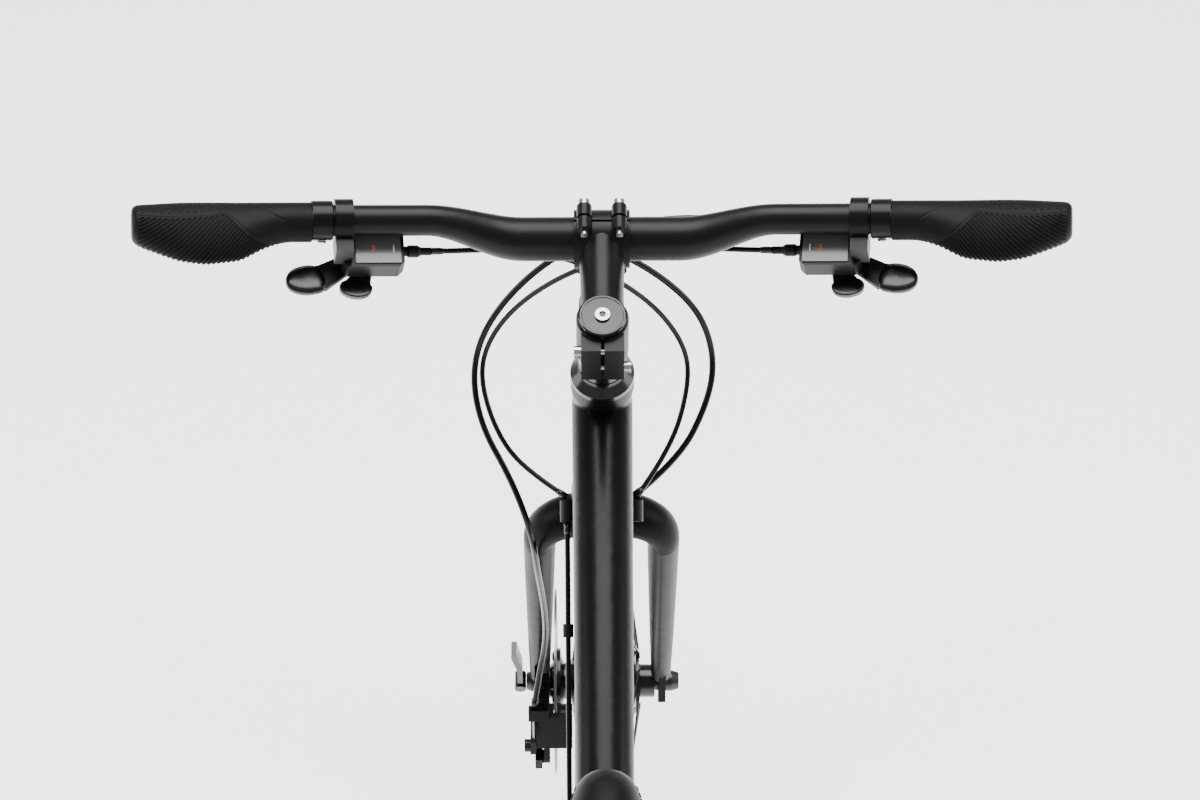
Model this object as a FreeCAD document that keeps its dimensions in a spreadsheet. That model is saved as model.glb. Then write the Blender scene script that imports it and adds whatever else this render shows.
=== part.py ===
import FreeCAD, Part
import math
import os

import Sketcher
from FreeCAD import Placement, Rotation, Vector

# Flat-bar hybrid bike, an assembly of separate pieces.
# Millimetres; +X forward, +Y left, +Z up; origin on the ground under the middle of the wheelbase.

SIZES = {
    # Layout of the bike
    "wheelbase": 1055,
    "chainstay_clearance": 94,
    "bb_drop": 68,
    "head_angle": 71,
    "seat_angle": 73.5,
    "fork_offset": 50,
    "crown_clearance": 54,
    "bead_seat_diameter": 622,
    "tyre_section": 35,
    # Clearances
    "running_gap": 0.05,
    "face_gap": 0.4,
    "overrun": 5,
    # Frame tubes
    "head_tube_length": 173,
    "head_tube_diameter": 46,
    "head_tube_waist": 43,
    "head_tube_flare": 22,
    "head_tube_bore": 36,
    "top_tube_drop": 35,
    "top_tube_front_width": 44,
    "top_tube_front_height": 40,
    "top_tube_rear_width": 36,
    "top_tube_rear_height": 32,
    "down_tube_rise": 38,
    "down_tube_front_height": 48,
    "down_tube_rear_height": 46,
    "down_tube_width": 42,
    "seat_tube_length": 492,
    "seat_tube_diameter": 34,
    "seat_tube_shoulder": 37,
    "seatpost_diameter": 27.2,
    "seatpost_bore_depth": 260,
    "bb_shell_diameter": 41,
    "bb_shell_width": 68,
    "bb_bore": 35,
    # Stays and rear dropouts
    "chainstay_start": 26,
    "chainstay_tyre_offset": 29.5,
    "chainstay_straight": 115,
    "chainstay_width": 14,
    "chainstay_front_height": 26,
    "chainstay_rear_height": 18,
    "seatstay_top_offset": 16,
    "seatstay_drop": 35,
    "seatstay_shoulder": 70,
    "seatstay_shoulder_offset": 34,
    "seatstay_depth": 17,
    "seatstay_width": 13,
    "bridge_diameter": 12,
    "seatstay_bridge_place": 105,
    "chainstay_bridge_place": 66,
    "rear_hub_width": 135,
    "dropout_thickness": 6,
    "stay_tab_length": 95,
    "stay_tab_half_width": 8,
    "dropout_lip": 14,
    "hanger_back": 13,
    "hanger_drop": 29,
    "hanger_bolt": 10,
    "hanger_wall": 9,
    "eyelet_hole": 5,
    "boss_diameter": 11,
    "boss_height": 1.5,
    "boss_hole": 5,
    "boss_depth": 14,
    "boss_spacing": 64,
    "boss_place": 190,
    # Headset
    "steerer_diameter": 28.6,
    "headset_bearing_height": 7,
    "headset_bearing_diameter": 41,
    "lower_stack": 12,
    "lower_cup_diameter": 45,
    "cover_height": 15,
    "cover_top_diameter": 35,
    "cover_lip": 4,
    "spacer_height": 10,
    "spacer_diameter": 34,
    "spacer_groove": 0.6,
    "cap_height": 5,
    "cap_diameter": 34,
    "cap_rim": 2.2,
    "cap_dish": 1,
    "cap_bolt_diameter": 10.5,
    "cap_bolt_height": 2.2,
    "hex_socket": 5,
    "steerer_gap": 3,
    # Seat clamp
    "seat_clamp_height": 14,
    "seat_clamp_wall": 4,
    "seat_clamp_lug": 15,
    "seat_clamp_slot": 3,
    "clamp_bolt": 5,
    # Fork
    "crown_half_flat": 10,
    "crown_depth": 37,
    "crown_height": 31,
    "crown_drop": 15,
    "shoulder_radius": 38,
    "leg_top_depth": 32,
    "leg_top_width": 25,
    "leg_mid_depth": 27,
    "leg_mid_width": 22,
    "leg_bottom_depth": 21,
    "leg_bottom_width": 17,
    "leg_bottom_offset": 52,
    "leg_bottom_forward": 42,
    "leg_bottom_height": 34,
    "front_hub_width": 100,
    "fork_tab_height": 52,
    "fork_tab_half_width": 11,
    "fork_eyelet_back": 17,
    "fork_eyelet_up": 12,
    # Stem
    "stem_clamp_height": 40,
    "stem_clamp_diameter": 37,
    "stem_length": 85,
    "stem_angle": 15,
    "stem_arm_height": 36,
    "stem_arm_width": 33,
    "stem_waist_height": 33,
    "stem_waist_width": 31,
    "stem_end_height": 38,
    "stem_end_width": 35,
    "stem_lug": 10,
    "stem_lug_width": 30,
    "stem_slot": 2.5,
    "stem_bolt_spread": 20,
    "stem_split": 2,
    "stem_ear_depth": 10,
    "stem_ear_diameter": 11,
    "bar_clamp_diameter": 42,
    "bar_clamp_width": 40,
    "faceplate_bolt_spread": 25,
    "faceplate_bolt_height": 46,
    "bolt_tail": 4,
    "bolt_head": 8.5,
    "bolt_head_height": 5,
    # Handlebar
    "bar_diameter": 31.8,
    "grip_bar_diameter": 22.2,
    "bar_width": 654,
    "bar_end_length": 203,
    "bar_rise": 17,
    "bar_backsweep": 8,
    "bar_upsweep": 6,
    # Grips
    "grip_length": 126,
    "grip_end": 3,
    "grip_wing_depth": 25,
    "grip_thickness": 27,
    "grip_wing_tilt": 20,
    "collar_diameter": 28.5,
    "collar_width": 15,
    # Brake levers
    "lever_angle": 35,
    "mount_start": 142.5,
    "mount_band": 13,
    "mount_diameter": 31,
    "mount_side": 9,
    "mount_thickness": 14,
    "lever_pivot_place": 151,
    "lever_pivot_reach": 33,
    "lever_slot_depth": 4,
    "lever_thickness": 6,
    "lever_width": 8,
    "lever_boss": 6,
    "lever_length": 118,
    "lever_tip_reach": 64,
    "pivot_pin": 5,
    "brake_housing": 5,
    "adjuster_diameter": 9,
    "adjuster_length": 13,
    "ferrule_wall": 0.9,
    "ferrule_length": 7,
    # Shifters
    "pod_angle": 25,
    "pod_behind": 6,
    "pod_below": 18.5,
    "pod_start": 149,
    "pod_length": 44,
    "pod_back": 16,
    "pod_front": 13,
    "pod_corner": 4,
    "pod_thickness": 16,
    "pod_drop": 20,
    "shift_housing": 4,
    "window_margin": 2.5,
    "window_thickness": 1.2,
    "paddle_pivot": 17,
    "paddle_thickness": 5,
    "paddle_hub": 6,
    "paddle_length": 56,
    "paddle_reach": 26,
    "release_length": 22,
    "release_reach": 27,
    # Disc brakes
    "rotor_diameter": 160,
    "rotor_thickness": 1.8,
    "rotor_track": 14,
    "rotor_centre": 58,
    "rotor_spigot": 35,
    "rotor_bolt_circle": 44,
    "rotor_arm_width": 7,
    "rotor_hole": 5.5,
    "rotor_clearance": 2,
    "front_rotor_inset": 11.4,
    "rear_rotor_inset": 16.2,
    "front_caliper_angle": 146,
    "rear_arm_lift": 13.301622,
    "pad_height": 20,
    "pad_width": 24,
    "pad_thickness": 3.4,
    "caliper_depth": 15.6,
    "caliper_inner_depth": 14.5,
    "caliper_diameter": 34,
    "caliper_step": 2,
    "bridge_half_width": 15,
    "bridge_height": 8,
    "ear_spacing": 74,
    "ear_inset": 4.8,
    "ear_diameter": 12,
    "ear_start": 2,
    "ear_thickness": 8,
    "ear_wall": 2,
    "stop_inset": 26,
    "stop_width": 10,
    "stop_height": 17,
    "stop_start": 5,
    "stop_reach": 46,
    "strut_root": 8,
    "strut_width": 8,
    "strut_thickness": 6,
    "arm_pin": 8,
    "arm_hub": 18,
    "arm_tip": 11,
    "arm_length": 46,
    "arm_thickness": 4.6,
    # Wheels
    "tyre_wall": 2.6,
    "bead_thickness": 3.5,
    "rim_inner_width": 19,
    "rim_hook": 5.5,
    "rim_wall": 1.9,
    "rim_depth": 20,
    "rim_keel": 10,
    "rim_well": 2.5,
    "axle_diameter": 9.5,
    "axle_room": 2,
    "flange_diameter": 56,
    "flange_thickness": 3.2,
    "hub_waist": 32,
    "hub_nose": 29,
    "rotor_seat": 58,
    "bearing_diameter": 22,
    "bearing_width": 7,
    "front_left_flange": 21,
    "front_right_flange": 32,
    "rear_left_flange": 33,
    "rear_right_flange": 19,
    "spoke_circle": 48,
    "spoke_diameter": 1.8,
    "spoke_offset": 2.2,
    "nipple_stagger": 1.5,
    "nipple_length": 13,
    "nipple_diameter": 4,
    "locknut_diameter": 17,
    "locknut_thickness": 2.5,
    "skewer_diameter": 5,
    "skewer_nut_length": 12,
    "skewer_nut_diameter": 18,
    "skewer_cam_length": 8,
    "lever_barrel": 10,
    "lever_barrel_length": 16,
    "skewer_blade": 4.5,
    "skewer_lever_length": 62,
    # Drivetrain
    "chain_line": 46,
    "chain_pitch": 12.7,
    "roller_diameter": 7.75,
    "roller_width": 2.4,
    "roller_room": 0.15,
    "plate_thickness": 0.8,
    "plate_gap": 0.15,
    "plate_height": 8.2,
    "rivet_diameter": 3.8,
    "rivet_height": 0.3,
    "tooth_tip": 1.2,
    "cog_pitch": 4.3,
    "cog_thickness": 1.8,
    "freehub_diameter": 32,
    "spacer_ring": 36,
    "lockring_diameter": 36,
    "lockring_height": 0.5,
    "spindle_diameter": 17,
    "bb_cup_flange": 43,
    "bb_cup_lip": 2.5,
    "bb_cup_depth": 16,
    "crank_length": 170,
    "crank_inset": 57.5,
    "crank_thickness": 13,
    "crank_root_height": 32,
    "crank_tip_height": 26,
    "ring_spacing": 7,
    "ring_thickness": 2,
    "ring_bolt": 9,
    "ring_bolt_height": 1.2,
    "inner_ring_hole": 62,
    "spider_circle": 104,
    "spider_width": 18,
    "pedal_axle": 12,
    "pedal_gap": 4,
    "pedal_width": 94,
    "pedal_depth": 92,
    "pedal_height": 26,
    "pedal_wall": 7,
    # Derailleurs
    "guide_back": 4,
    "guide_drop": 92,
    "pulley_spacing": 56,
    "pulley_bore": 6,
    "pulley_hub": 11,
    "cage_gap": 12.4,
    "cage_thickness": 1.6,
    "cage_width": 22,
    "cage_stub": 8,
    "cage_stub_length": 10,
    "knuckle_diameter": 20,
    "knuckle_length": 16,
    "knuckle_barrel": 20,
    "link_end_ahead": 8,
    "link_end_above": 14,
    "link_end_outside": 24,
    "link_forward": 40,
    "link_inward": 4,
    "link_down": 20,
    "link_boss": 12,
    "link_boss_half": 7.6,
    "link_thickness": 4,
    "link_bar": 10,
    "fd_height": 130,
    "fd_band": 16,
    "fd_pivot": 28,
    "fd_lug": 5,
    "fd_arm_width": 13,
    "fd_clearance": 6,
    "fd_cage_height": 20,
    "fd_cage_gap": 12,
    "fd_bridge": 4,
    # Seat
    "seatpost_shown": 83,
    "seatpost_depth": 172,
    "yoke_diameter": 30,
    "rail_spacing": 44,
    "rail_diameter": 7,
    "rail_rise": 14,
    "rail_clamp": 34,
    "rail_end_rise": 11,
    "saddle_ahead": 156,
    "saddle_above": 51,
    "saddle_length": 270,
    "saddle_width": 155,
    "saddle_depth": 40,
    # Cable entries
    "port_length": 16,
    "port_diameter": 11,
    "clip_diameter": 8,
    "clip_length": 10,
    "grommet_diameter": 8,
}

# Shares of the sizes that they follow
leg_mid_share = 0.45
cover_rim_share = 0.3
clamp_lug_share = 0.55
stem_waist_share = 0.5
bar_step_share = 0.01
bar_straight_share = 14 / 31
adjuster_waist_share = 0.8
adjuster_step_shares = (0.2, 0.3, 0.8)
skewer_taper_share = 0.8
skewer_bend_share = 0.5
skewer_tip_share = 0.9
skewer_hook_shares = (3, 3.2)
skewer_plate_share = 0.8
pedal_slot_share = 1.5
tooth_valley_share = 0.73
tooth_height_share = 0.67
outer_plate_share = 0.95
spider_tip_share = 0.6
crank_waist_share = 0.86
cord_trim_share = 0.45
clip_place_shares = (0.15, 0.5, 0.85)
saddle_knee_share = 0.55
cassette_slope_share = 0.8
rotor_slot_shares = (0.25, 0.5, 0.75)
grip_place_shares = (0, 0.03, 0.25, 0.4, 0.6, 0.73, 0.85, 1)
grip_depth_shares = (0.5, 0.6, 0.93, 1, 0.93, 0.71, 0.585, 0.585)
grip_back_shares = (0.1, 0.15, 0.38, 0.436, 0.38, 0.176, 0.064, 0.064)
lever_along_shares = (0.1, 0.22, 0.45, 0.82, 0.94, 1)
lever_out_shares = (0.3, 0.55, 0.75, 0.88, 1.05, 1)
paddle_outline_shares = ((-0.2, -0.45), (-0.5, -0.95), (-0.75, -1.05), (-0.95, -0.95), (-1, -0.65),
                         (-0.9, -0.35),
                         (-0.6, -0.25))
release_outline_shares = ((0.2, -0.6), (0.15, -0.95), (-0.2, -1.05), (-0.7, -0.95), (-0.8, -0.75),
                          (-0.3, -0.3))
saddle_shares = ((0, 0.13, 0.3, 0.6), (0.03, 0.24, 0.66, 0.8), (0.11, 0.3, 0.87, 0.9),
                 (0.35, 0.36, 0.97, 0.96),
                 (0.55, 0.52, 1, 0.98), (0.75, 0.88, 1.05, 0.98), (0.9, 1, 1.08, 0.95),
                 (0.97, 0.86, 0.95, 0.86),
                 (1, 0.6, 0.6, 0.7))
rail_route_shares = ((0.15, 0.4, 1.7), (0.26, 0.75, 0.35), (0.4, 1, 0), (0.66, 1, 0), (0.8, 1.2, 0.5),
                     (0.9, 1.6, 1.5))

# Counts and angles
bar_sections = 9
shoulder_sections = 5
spoke_count = 32
spoke_crosses = 3
rotor_arm_count = 6
rotor_slots_per_arm = 6
rotor_sweep_degrees = 22
ring_teeth = (46, 30)
cog_teeth = (11, 13, 15, 17, 20, 23, 26, 30, 34)
chain_cog = 4
pulley_teeth = 11
spider_arms = 4
cage_angle_limits = (-10, 45)
fd_cage_angles = (84, 97, 110, 124)

os.makedirs("parts", exist_ok=True)
doc = FreeCAD.newDocument("hybrid_bike")
sheet = doc.addObject("Spreadsheet::Sheet", "Sizes")
NODES = []
X_AXIS = Vector(1, 0, 0)
Y_AXIS = Vector(0, 1, 0)
Z_AXIS = Vector(0, 0, 1)
SIDES = {"left": 1, "right": -1}


def words(value):
    """The expression text of a size or of a plain number."""
    return value.text if isinstance(value, Dim) else repr(float(value))


class Dim:
    """A size with its sheet expression, so that sums of sizes stay bound to the sheet."""

    def __init__(self, value, text):
        self.value = float(value)
        self.text = text

    def __float__(self):
        return self.value

    def __lt__(self, other):
        return self.value < float(other)

    def __add__(self, other):
        return Dim(self.value + float(other), f"({self.text} + {words(other)})")

    def __radd__(self, other):
        return Dim(float(other) + self.value, f"({words(other)} + {self.text})")

    def __sub__(self, other):
        return Dim(self.value - float(other), f"({self.text} - {words(other)})")

    def __rsub__(self, other):
        return Dim(float(other) - self.value, f"({words(other)} - {self.text})")

    def __mul__(self, other):
        return Dim(self.value * float(other), f"({self.text} * {words(other)})")

    def __rmul__(self, other):
        return Dim(float(other) * self.value, f"({words(other)} * {self.text})")

    def __truediv__(self, other):
        return Dim(self.value / float(other), f"({self.text} / {words(other)})")

    def __neg__(self):
        return Dim(-self.value, f"(0 - {self.text})")


class SheetSizes:
    """Reads each driving size from the sheet by its alias."""

    def __getattr__(self, name):
        return Dim(sheet.get(name), "Sizes." + name)


def fill_sheet():
    """Write the driving sizes to the sheet as plain numbers with aliases."""
    for row, (name, value) in enumerate(SIZES.items(), start=1):
        sheet.set(f"A{row}", name)
        sheet.set(f"B{row}", str(value))
        sheet.setAlias(f"B{row}", name)
    doc.recompute()


def bind(item, prop, size):
    """Set a property and bind it to the sheet where the size comes from there."""
    setattr(item, prop, float(size))
    if isinstance(size, Dim):
        item.setExpression(prop, size.text)


def at(origin, z_axis, x_axis):
    """Placement whose local Z and X follow two directions."""
    up = Vector(z_axis).normalize()
    side = up.cross(x_axis).normalize()
    return Placement(Vector(origin), Rotation(side.cross(up), side, up, "ZXY"))


def shift(place, x, y, z):
    """Placement moved along its own axes."""
    return place.multiply(Placement(Vector(float(x), float(y), float(z)), Rotation()))


def point(place, x, y, z):
    """A local point of a placement, in the bike's frame."""
    return place.multVec(Vector(float(x), float(y), float(z)))


def polygon_sketch(body, role, corners):
    """A closed outline on one of the body's own planes, each corner bound to the sheet."""
    sketch = body.newObject("Sketcher::SketchObject", body.Name + "_outline")
    plane = [item for item in body.Origin.OriginFeatures if item.Role == role][0]
    sketch.AttachmentSupport = [(plane, "")]
    sketch.MapMode = "FlatFace"
    flat = [Vector(float(x), float(y), 0) for x, y in corners]
    count = len(flat)
    lines = [Part.LineSegment(flat[i], flat[(i + 1) % count]) for i in range(count)]
    sketch.addGeometry(lines, False)
    rules = [Sketcher.Constraint("Coincident", i, 2, (i + 1) % count, 1) for i in range(count)]
    bound = []
    for i, corner in enumerate(corners):
        for kind, size in zip(("DistanceX", "DistanceY"), corner):
            if isinstance(size, Dim):
                bound.append((len(rules), size.text))
            rules.append(Sketcher.Constraint(kind, -1, 1, i, 1, float(size)))
    sketch.addConstraint(rules)
    for index, text in bound:
        sketch.setExpression(f"Constraints[{index}]", text)
    return sketch


def revolved(label, corners, place):
    """A turned piece: the outline is (radius, height) about the placement's Z axis."""
    body = doc.addObject("PartDesign::Body", label)
    sketch = polygon_sketch(body, "XZ_Plane", corners)
    turn = body.newObject("PartDesign::Revolution", label + "_turn")
    turn.Profile = sketch
    turn.ReferenceAxis = (sketch, ["V_Axis"])
    turn.Angle = 360
    body.Tip = turn
    body.Placement = place
    return body


def padded(label, corners, length, place):
    """A plate or block: the outline lies in the placement's XY plane and is padded along its Z."""
    body = doc.addObject("PartDesign::Body", label)
    pad = body.newObject("PartDesign::Pad", label + "_pad")
    pad.Profile = polygon_sketch(body, "XY_Plane", corners)
    bind(pad, "Length", length)
    body.Tip = pad
    body.Placement = place
    return body


def cylinder(label, radius, height, place):
    """A round bar along the placement's Z axis."""
    item = doc.addObject("Part::Cylinder", label)
    bind(item, "Radius", radius)
    bind(item, "Height", height)
    item.Placement = place
    return item


def ring(label, outer, inner, height, place):
    """A turned ring from its two radii."""
    zero = 0
    return revolved(label, [(inner, zero), (outer, zero), (outer, height), (inner, height)], place)


def lofted(label, sections):
    """A tube through elliptic sections, each (placement, half size along X, half size along Y)."""
    loft = doc.addObject("Part::Loft", label)
    wires = []
    for number, (place, major, minor) in enumerate(sections):
        wire = doc.addObject("Part::Ellipse", f"{label}_section_{number}")
        bind(wire, "MajorRadius", major)
        bind(wire, "MinorRadius", minor)
        wire.Placement = place
        wires.append(wire)
    loft.Sections = wires
    loft.Solid = True
    return loft


def fused(label, items):
    """One piece welded from several."""
    item = doc.addObject("Part::MultiFuse", label)
    item.Shapes = items
    return item


def cut(label, base, tools):
    """A piece with one or more others taken out of it."""
    item = doc.addObject("Part::Cut", label)
    item.Base = base
    item.Tool = tools[0] if len(tools) == 1 else fused(label + "_tools", tools)
    return item


def group(label, items):
    """Separate solids that share one name."""
    item = doc.addObject("Part::Compound", label)
    item.Links = items
    return item


def shaped(label, shape):
    """A piece whose form comes from geometry functions."""
    item = doc.addObject("Part::Feature", label)
    item.Shape = shape
    return item


def node(item):
    """Mark a finished sub-part, whose label names its file."""
    NODES.append(item)
    return item


fill_sheet()
d = SheetSizes()

# Layout worked out from the driving sizes
wheel_radius = d.bead_seat_diameter / 2 + d.tyre_section
lean = math.radians(d.head_angle)
steer_up = Vector(-math.cos(lean), 0, math.sin(lean))
steer_forward = Vector(math.sin(lean), 0, math.cos(lean))
front_axle = Vector(float(d.wheelbase / 2), 0, float(wheel_radius))
rear_axle = Vector(-float(d.wheelbase / 2), 0, float(wheel_radius))
chainstay_length = float(wheel_radius + d.chainstay_clearance)
stay_run = math.sqrt(chainstay_length ** 2 - float(d.bb_drop) ** 2)
bb_centre = rear_axle + Vector(stay_run, 0, -float(d.bb_drop))
STEER = at(front_axle - steer_forward * float(d.fork_offset), steer_up, steer_forward)
seat_lean = math.radians(d.seat_angle)
seat_up = Vector(-math.cos(seat_lean), 0, math.sin(seat_lean))
SEAT = at(bb_centre, seat_up, Y_AXIS)

# Lines of the stays
stay_low = (bb_centre - rear_axle).normalize()
seat_join = point(SEAT, 0, 0, d.seat_tube_length - d.seat_tube_shoulder - d.seatstay_drop)
stay_high = (seat_join - rear_axle).normalize()

# Heights along the steering axis
axle_to_crown = float(wheel_radius + d.crown_clearance)
crown_top = math.sqrt(axle_to_crown ** 2 - float(d.fork_offset) ** 2)
head_bottom = crown_top + d.lower_stack
head_top = head_bottom + d.head_tube_length
cover_bottom = head_top + d.face_gap
spacer_bottom = cover_bottom + d.cover_height

# Clamp section and bend of the bar, inside its straight grip ends
bar_inner = float(d.bar_width / 2 - d.bar_end_length)
bar_straight = bar_inner * bar_straight_share
bar_bend = bar_inner - bar_straight


def front_triangle():
    """Head tube, top tube, down tube, seat tube and bottom bracket shell, welded and bored."""
    waist = d.head_tube_waist / 2
    outer = d.head_tube_diameter / 2
    length = d.head_tube_length
    head = revolved("head_tube", [
        (0, 0), (outer, 0), (outer, d.head_tube_flare / 2), (waist, d.head_tube_flare),
        (waist, length - d.head_tube_flare), (outer, length - d.head_tube_flare / 2), (outer, length),
        (0, length)], shift(STEER, 0, 0, head_bottom))
    top_start = point(STEER, 0, 0, head_top - d.top_tube_drop)
    top_end = point(SEAT, 0, 0, d.seat_tube_length - d.seat_tube_shoulder)
    top_run = top_end - top_start
    top = lofted("top_tube", [
        (at(top_start, top_run, Y_AXIS), d.top_tube_front_width / 2, d.top_tube_front_height / 2),
        (at(top_end, top_run, Y_AXIS), d.top_tube_rear_width / 2, d.top_tube_rear_height / 2)])
    down_start = point(STEER, 0, 0, head_bottom + d.down_tube_rise)
    down_run = bb_centre - down_start
    tall = down_run.cross(Y_AXIS)
    down = lofted("down_tube", [
        (at(down_start, down_run, tall), d.down_tube_front_height / 2, d.down_tube_width / 2),
        (at(bb_centre, down_run, tall), d.down_tube_rear_height / 2, d.down_tube_width / 2)])
    seat = cylinder("seat_tube", d.seat_tube_diameter / 2, d.seat_tube_length, SEAT)
    across = at(bb_centre, Y_AXIS, X_AXIS)
    shell = cylinder("bb_shell", d.bb_shell_diameter / 2, d.bb_shell_width,
                     shift(across, 0, 0, -d.bb_shell_width / 2))
    bosses = []
    boss_holes = []
    for number in range(2):
        along = down_run.normalize() * (float(d.boss_place) + number * float(d.boss_spacing))
        seat_point = down_start + along
        outward = at(seat_point, -tall, Y_AXIS)
        top_height = d.down_tube_front_height / 2 + d.boss_height
        bosses.append(cylinder(f"boss_{number}", d.boss_diameter / 2, top_height, outward))
        boss_holes.append(cylinder(f"boss_hole_{number}", d.boss_hole / 2, d.boss_depth + d.overrun,
                                   shift(outward, 0, 0, top_height - d.boss_depth)))
    outside = fused("front_triangle_outside", [head, top, down, seat, shell] + bosses)
    seat_ring = d.headset_bearing_diameter / 2
    bore = d.head_tube_bore / 2
    deep = d.headset_bearing_height
    head_bore = revolved("head_bore", [
        (0, -d.overrun), (seat_ring, -d.overrun), (seat_ring, deep), (bore, deep), (bore, length - deep),
        (seat_ring, length - deep), (seat_ring, length + d.overrun), (0, length + d.overrun)],
        shift(STEER, 0, 0, head_bottom))
    post_bore = cylinder("post_bore", d.seatpost_diameter / 2 + d.running_gap,
                         d.seatpost_bore_depth + d.overrun,
                         shift(SEAT, 0, 0, d.seat_tube_length - d.seatpost_bore_depth))
    shell_bore = cylinder("shell_bore", d.bb_bore / 2, d.bb_shell_width + d.overrun * 2,
                          shift(across, 0, 0, -d.bb_shell_width / 2 - d.overrun))
    node(cut("front_triangle", outside, [head_bore, post_bore, shell_bore] + boss_holes))
    return outside


def dropout_outline(hanger):
    """Rear dropout about the axle: slot open downwards, tabs along both stays, hanger if asked."""
    half = d.stay_tab_half_width
    slot = d.axle_diameter / 2 + d.running_gap
    lip = d.dropout_lip
    reach = float(d.stay_tab_length)
    corners = [(-slot, -lip), (-slot, slot), (slot, slot), (slot, -lip), (lip, -lip)]
    for run in (stay_low, stay_high):
        aside = Vector(run.z, 0, -run.x)
        for turn in (1, -1):
            corner = run * reach + aside * (turn * float(half))
            corners.append((corner.x, corner.z))
        if run is stay_low:
            corners.append((lip * 2, lip))
    corners.append((-lip, lip))
    if hanger:
        wide = d.hanger_bolt / 2 + d.hanger_wall
        low = -d.hanger_drop - wide
        corners += [(-d.hanger_back - wide, -d.hanger_drop + lip), (-d.hanger_back - wide, low),
                    (-slot, low)]
    else:
        corners.append((-lip, -lip))
    return corners


def rear_triangle(front_outside):
    """Chainstays, seatstays, bridges and dropouts, welded and fitted to the front triangle."""
    plate_middle = d.rear_hub_width / 2 + d.dropout_thickness / 2
    tab = float(d.stay_tab_length)
    overlap = tab - float(d.dropout_lip)
    items = []
    holes = []
    for name, side in SIDES.items():
        low_points = [(bb_centre, d.chainstay_start), (bb_centre - stay_low * float(d.chainstay_straight),
                      d.chainstay_tyre_offset), (rear_axle + stay_low * overlap, plate_middle)]
        heights = [d.chainstay_front_height, d.chainstay_front_height, d.chainstay_rear_height]
        tall = stay_low.cross(Y_AXIS)
        items.append(lofted(f"chainstay_{name}", [
            (at(base + Y_AXIS * (side * float(offset)), stay_low, tall), height / 2, d.chainstay_width / 2)
            for (base, offset), height in zip(low_points, heights)]))
        high_points = [(seat_join, d.seatstay_top_offset),
                       (seat_join - stay_high * float(d.seatstay_shoulder),
                       d.seatstay_shoulder_offset), (rear_axle + stay_high * overlap, plate_middle)]
        tall = stay_high.cross(Y_AXIS)
        items.append(lofted(f"seatstay_{name}", [
            (at(base + Y_AXIS * (side * float(offset)), stay_high, tall), d.seatstay_depth / 2,
             d.seatstay_width / 2)
            for base, offset in high_points]))
        outline = dropout_outline(name == "right")
        inner = d.rear_hub_width / 2
        start = inner if side > 0 else -inner - d.dropout_thickness
        plate = at(rear_axle + Y_AXIS * (float(start) + float(d.dropout_thickness)), -Y_AXIS, X_AXIS)
        items.append(padded(f"rear_dropout_{name}", outline, d.dropout_thickness, plate))
        outside = Y_AXIS * (float(start) - float(d.overrun))
        eyelet = rear_axle + stay_high * float(d.stay_tab_length / 2) + outside
        holes.append(cylinder(f"rear_eyelet_{name}", d.eyelet_hole / 2, d.dropout_thickness + d.overrun * 2,
                              at(eyelet, Y_AXIS, X_AXIS)))
        if name == "right":
            bolt = rear_axle + Vector(-float(d.hanger_back), float(start) - float(d.overrun),
                                      -float(d.hanger_drop))
            holes.append(cylinder("hanger_hole", d.hanger_bolt / 2, d.dropout_thickness + d.overrun * 2,
                                  at(bolt, Y_AXIS, X_AXIS)))
    bridge_places = {
        "seatstay_bridge": (seat_join - stay_high * float(d.seatstay_bridge_place),
                            d.seatstay_shoulder_offset),
        "chainstay_bridge": (bb_centre - stay_low * float(d.chainstay_bridge_place), d.chainstay_start)}
    for label, (place, half) in bridge_places.items():
        items.append(cylinder(label, d.bridge_diameter / 2, half * 2,
                              at(place - Y_AXIS * float(half), Y_AXIS, X_AXIS)))
    boss_height = d.rear_hub_width / 2 - rear_rotor - d.ear_start - d.ear_thickness + d.dropout_thickness / 2
    for label, ear in caliper_ears(REAR_BRAKE):
        items.append(cylinder(f"rear_{label}_boss", d.ear_diameter / 2, boss_height, ear))
    welded = fused("rear_triangle_outside", items)
    node(cut("rear_triangle", welded, [front_outside] + holes))
    return welded


def block(label, length, width, height, place):
    """A box whose corner sits at the placement."""
    item = doc.addObject("Part::Box", label)
    bind(item, "Length", length)
    bind(item, "Width", width)
    bind(item, "Height", height)
    item.Placement = place
    return item


def mirrored(label, item):
    """The same piece on the other side of the bike."""
    copy = doc.addObject("Part::Mirroring", label)
    copy.Source = item
    copy.Base = Vector(0, 0, 0)
    copy.Normal = Y_AXIS
    return copy


def frame_bearings():
    """Headset cup and bearings, and the bottom bracket's two cups."""
    inner = d.steerer_diameter / 2 + d.running_gap
    seat_ring = d.headset_bearing_diameter / 2
    cup = d.lower_cup_diameter / 2
    low = d.lower_stack - d.face_gap
    items = [
        revolved("lower_cup", [(inner, 0), (cup - d.cap_rim, 0), (cup, d.cap_rim), (cup, low),
                               (inner, low)],
                 shift(STEER, 0, 0, crown_top + d.face_gap)),
        ring("lower_bearing", seat_ring, inner, d.headset_bearing_height, shift(STEER, 0, 0, head_bottom)),
        ring("upper_bearing", seat_ring, inner, d.headset_bearing_height,
             shift(STEER, 0, 0, head_top - d.headset_bearing_height))]
    bore = d.spindle_diameter / 2 + d.running_gap
    flange = d.bb_cup_flange / 2
    thick = d.bb_cup_lip
    deep = d.bb_cup_lip + d.bb_cup_depth
    for name, side in SIDES.items():
        face = at(bb_centre + Y_AXIS * (side * float(d.bb_shell_width / 2 + thick)), Y_AXIS * -side, X_AXIS)
        items.append(revolved(f"bb_cup_{name}", [
            (bore, 0), (flange, 0), (flange, thick), (d.bb_bore / 2, thick), (d.bb_bore / 2, deep),
            (bore, deep)],
            face))
    node(group("frame_bearings", items))


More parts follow.
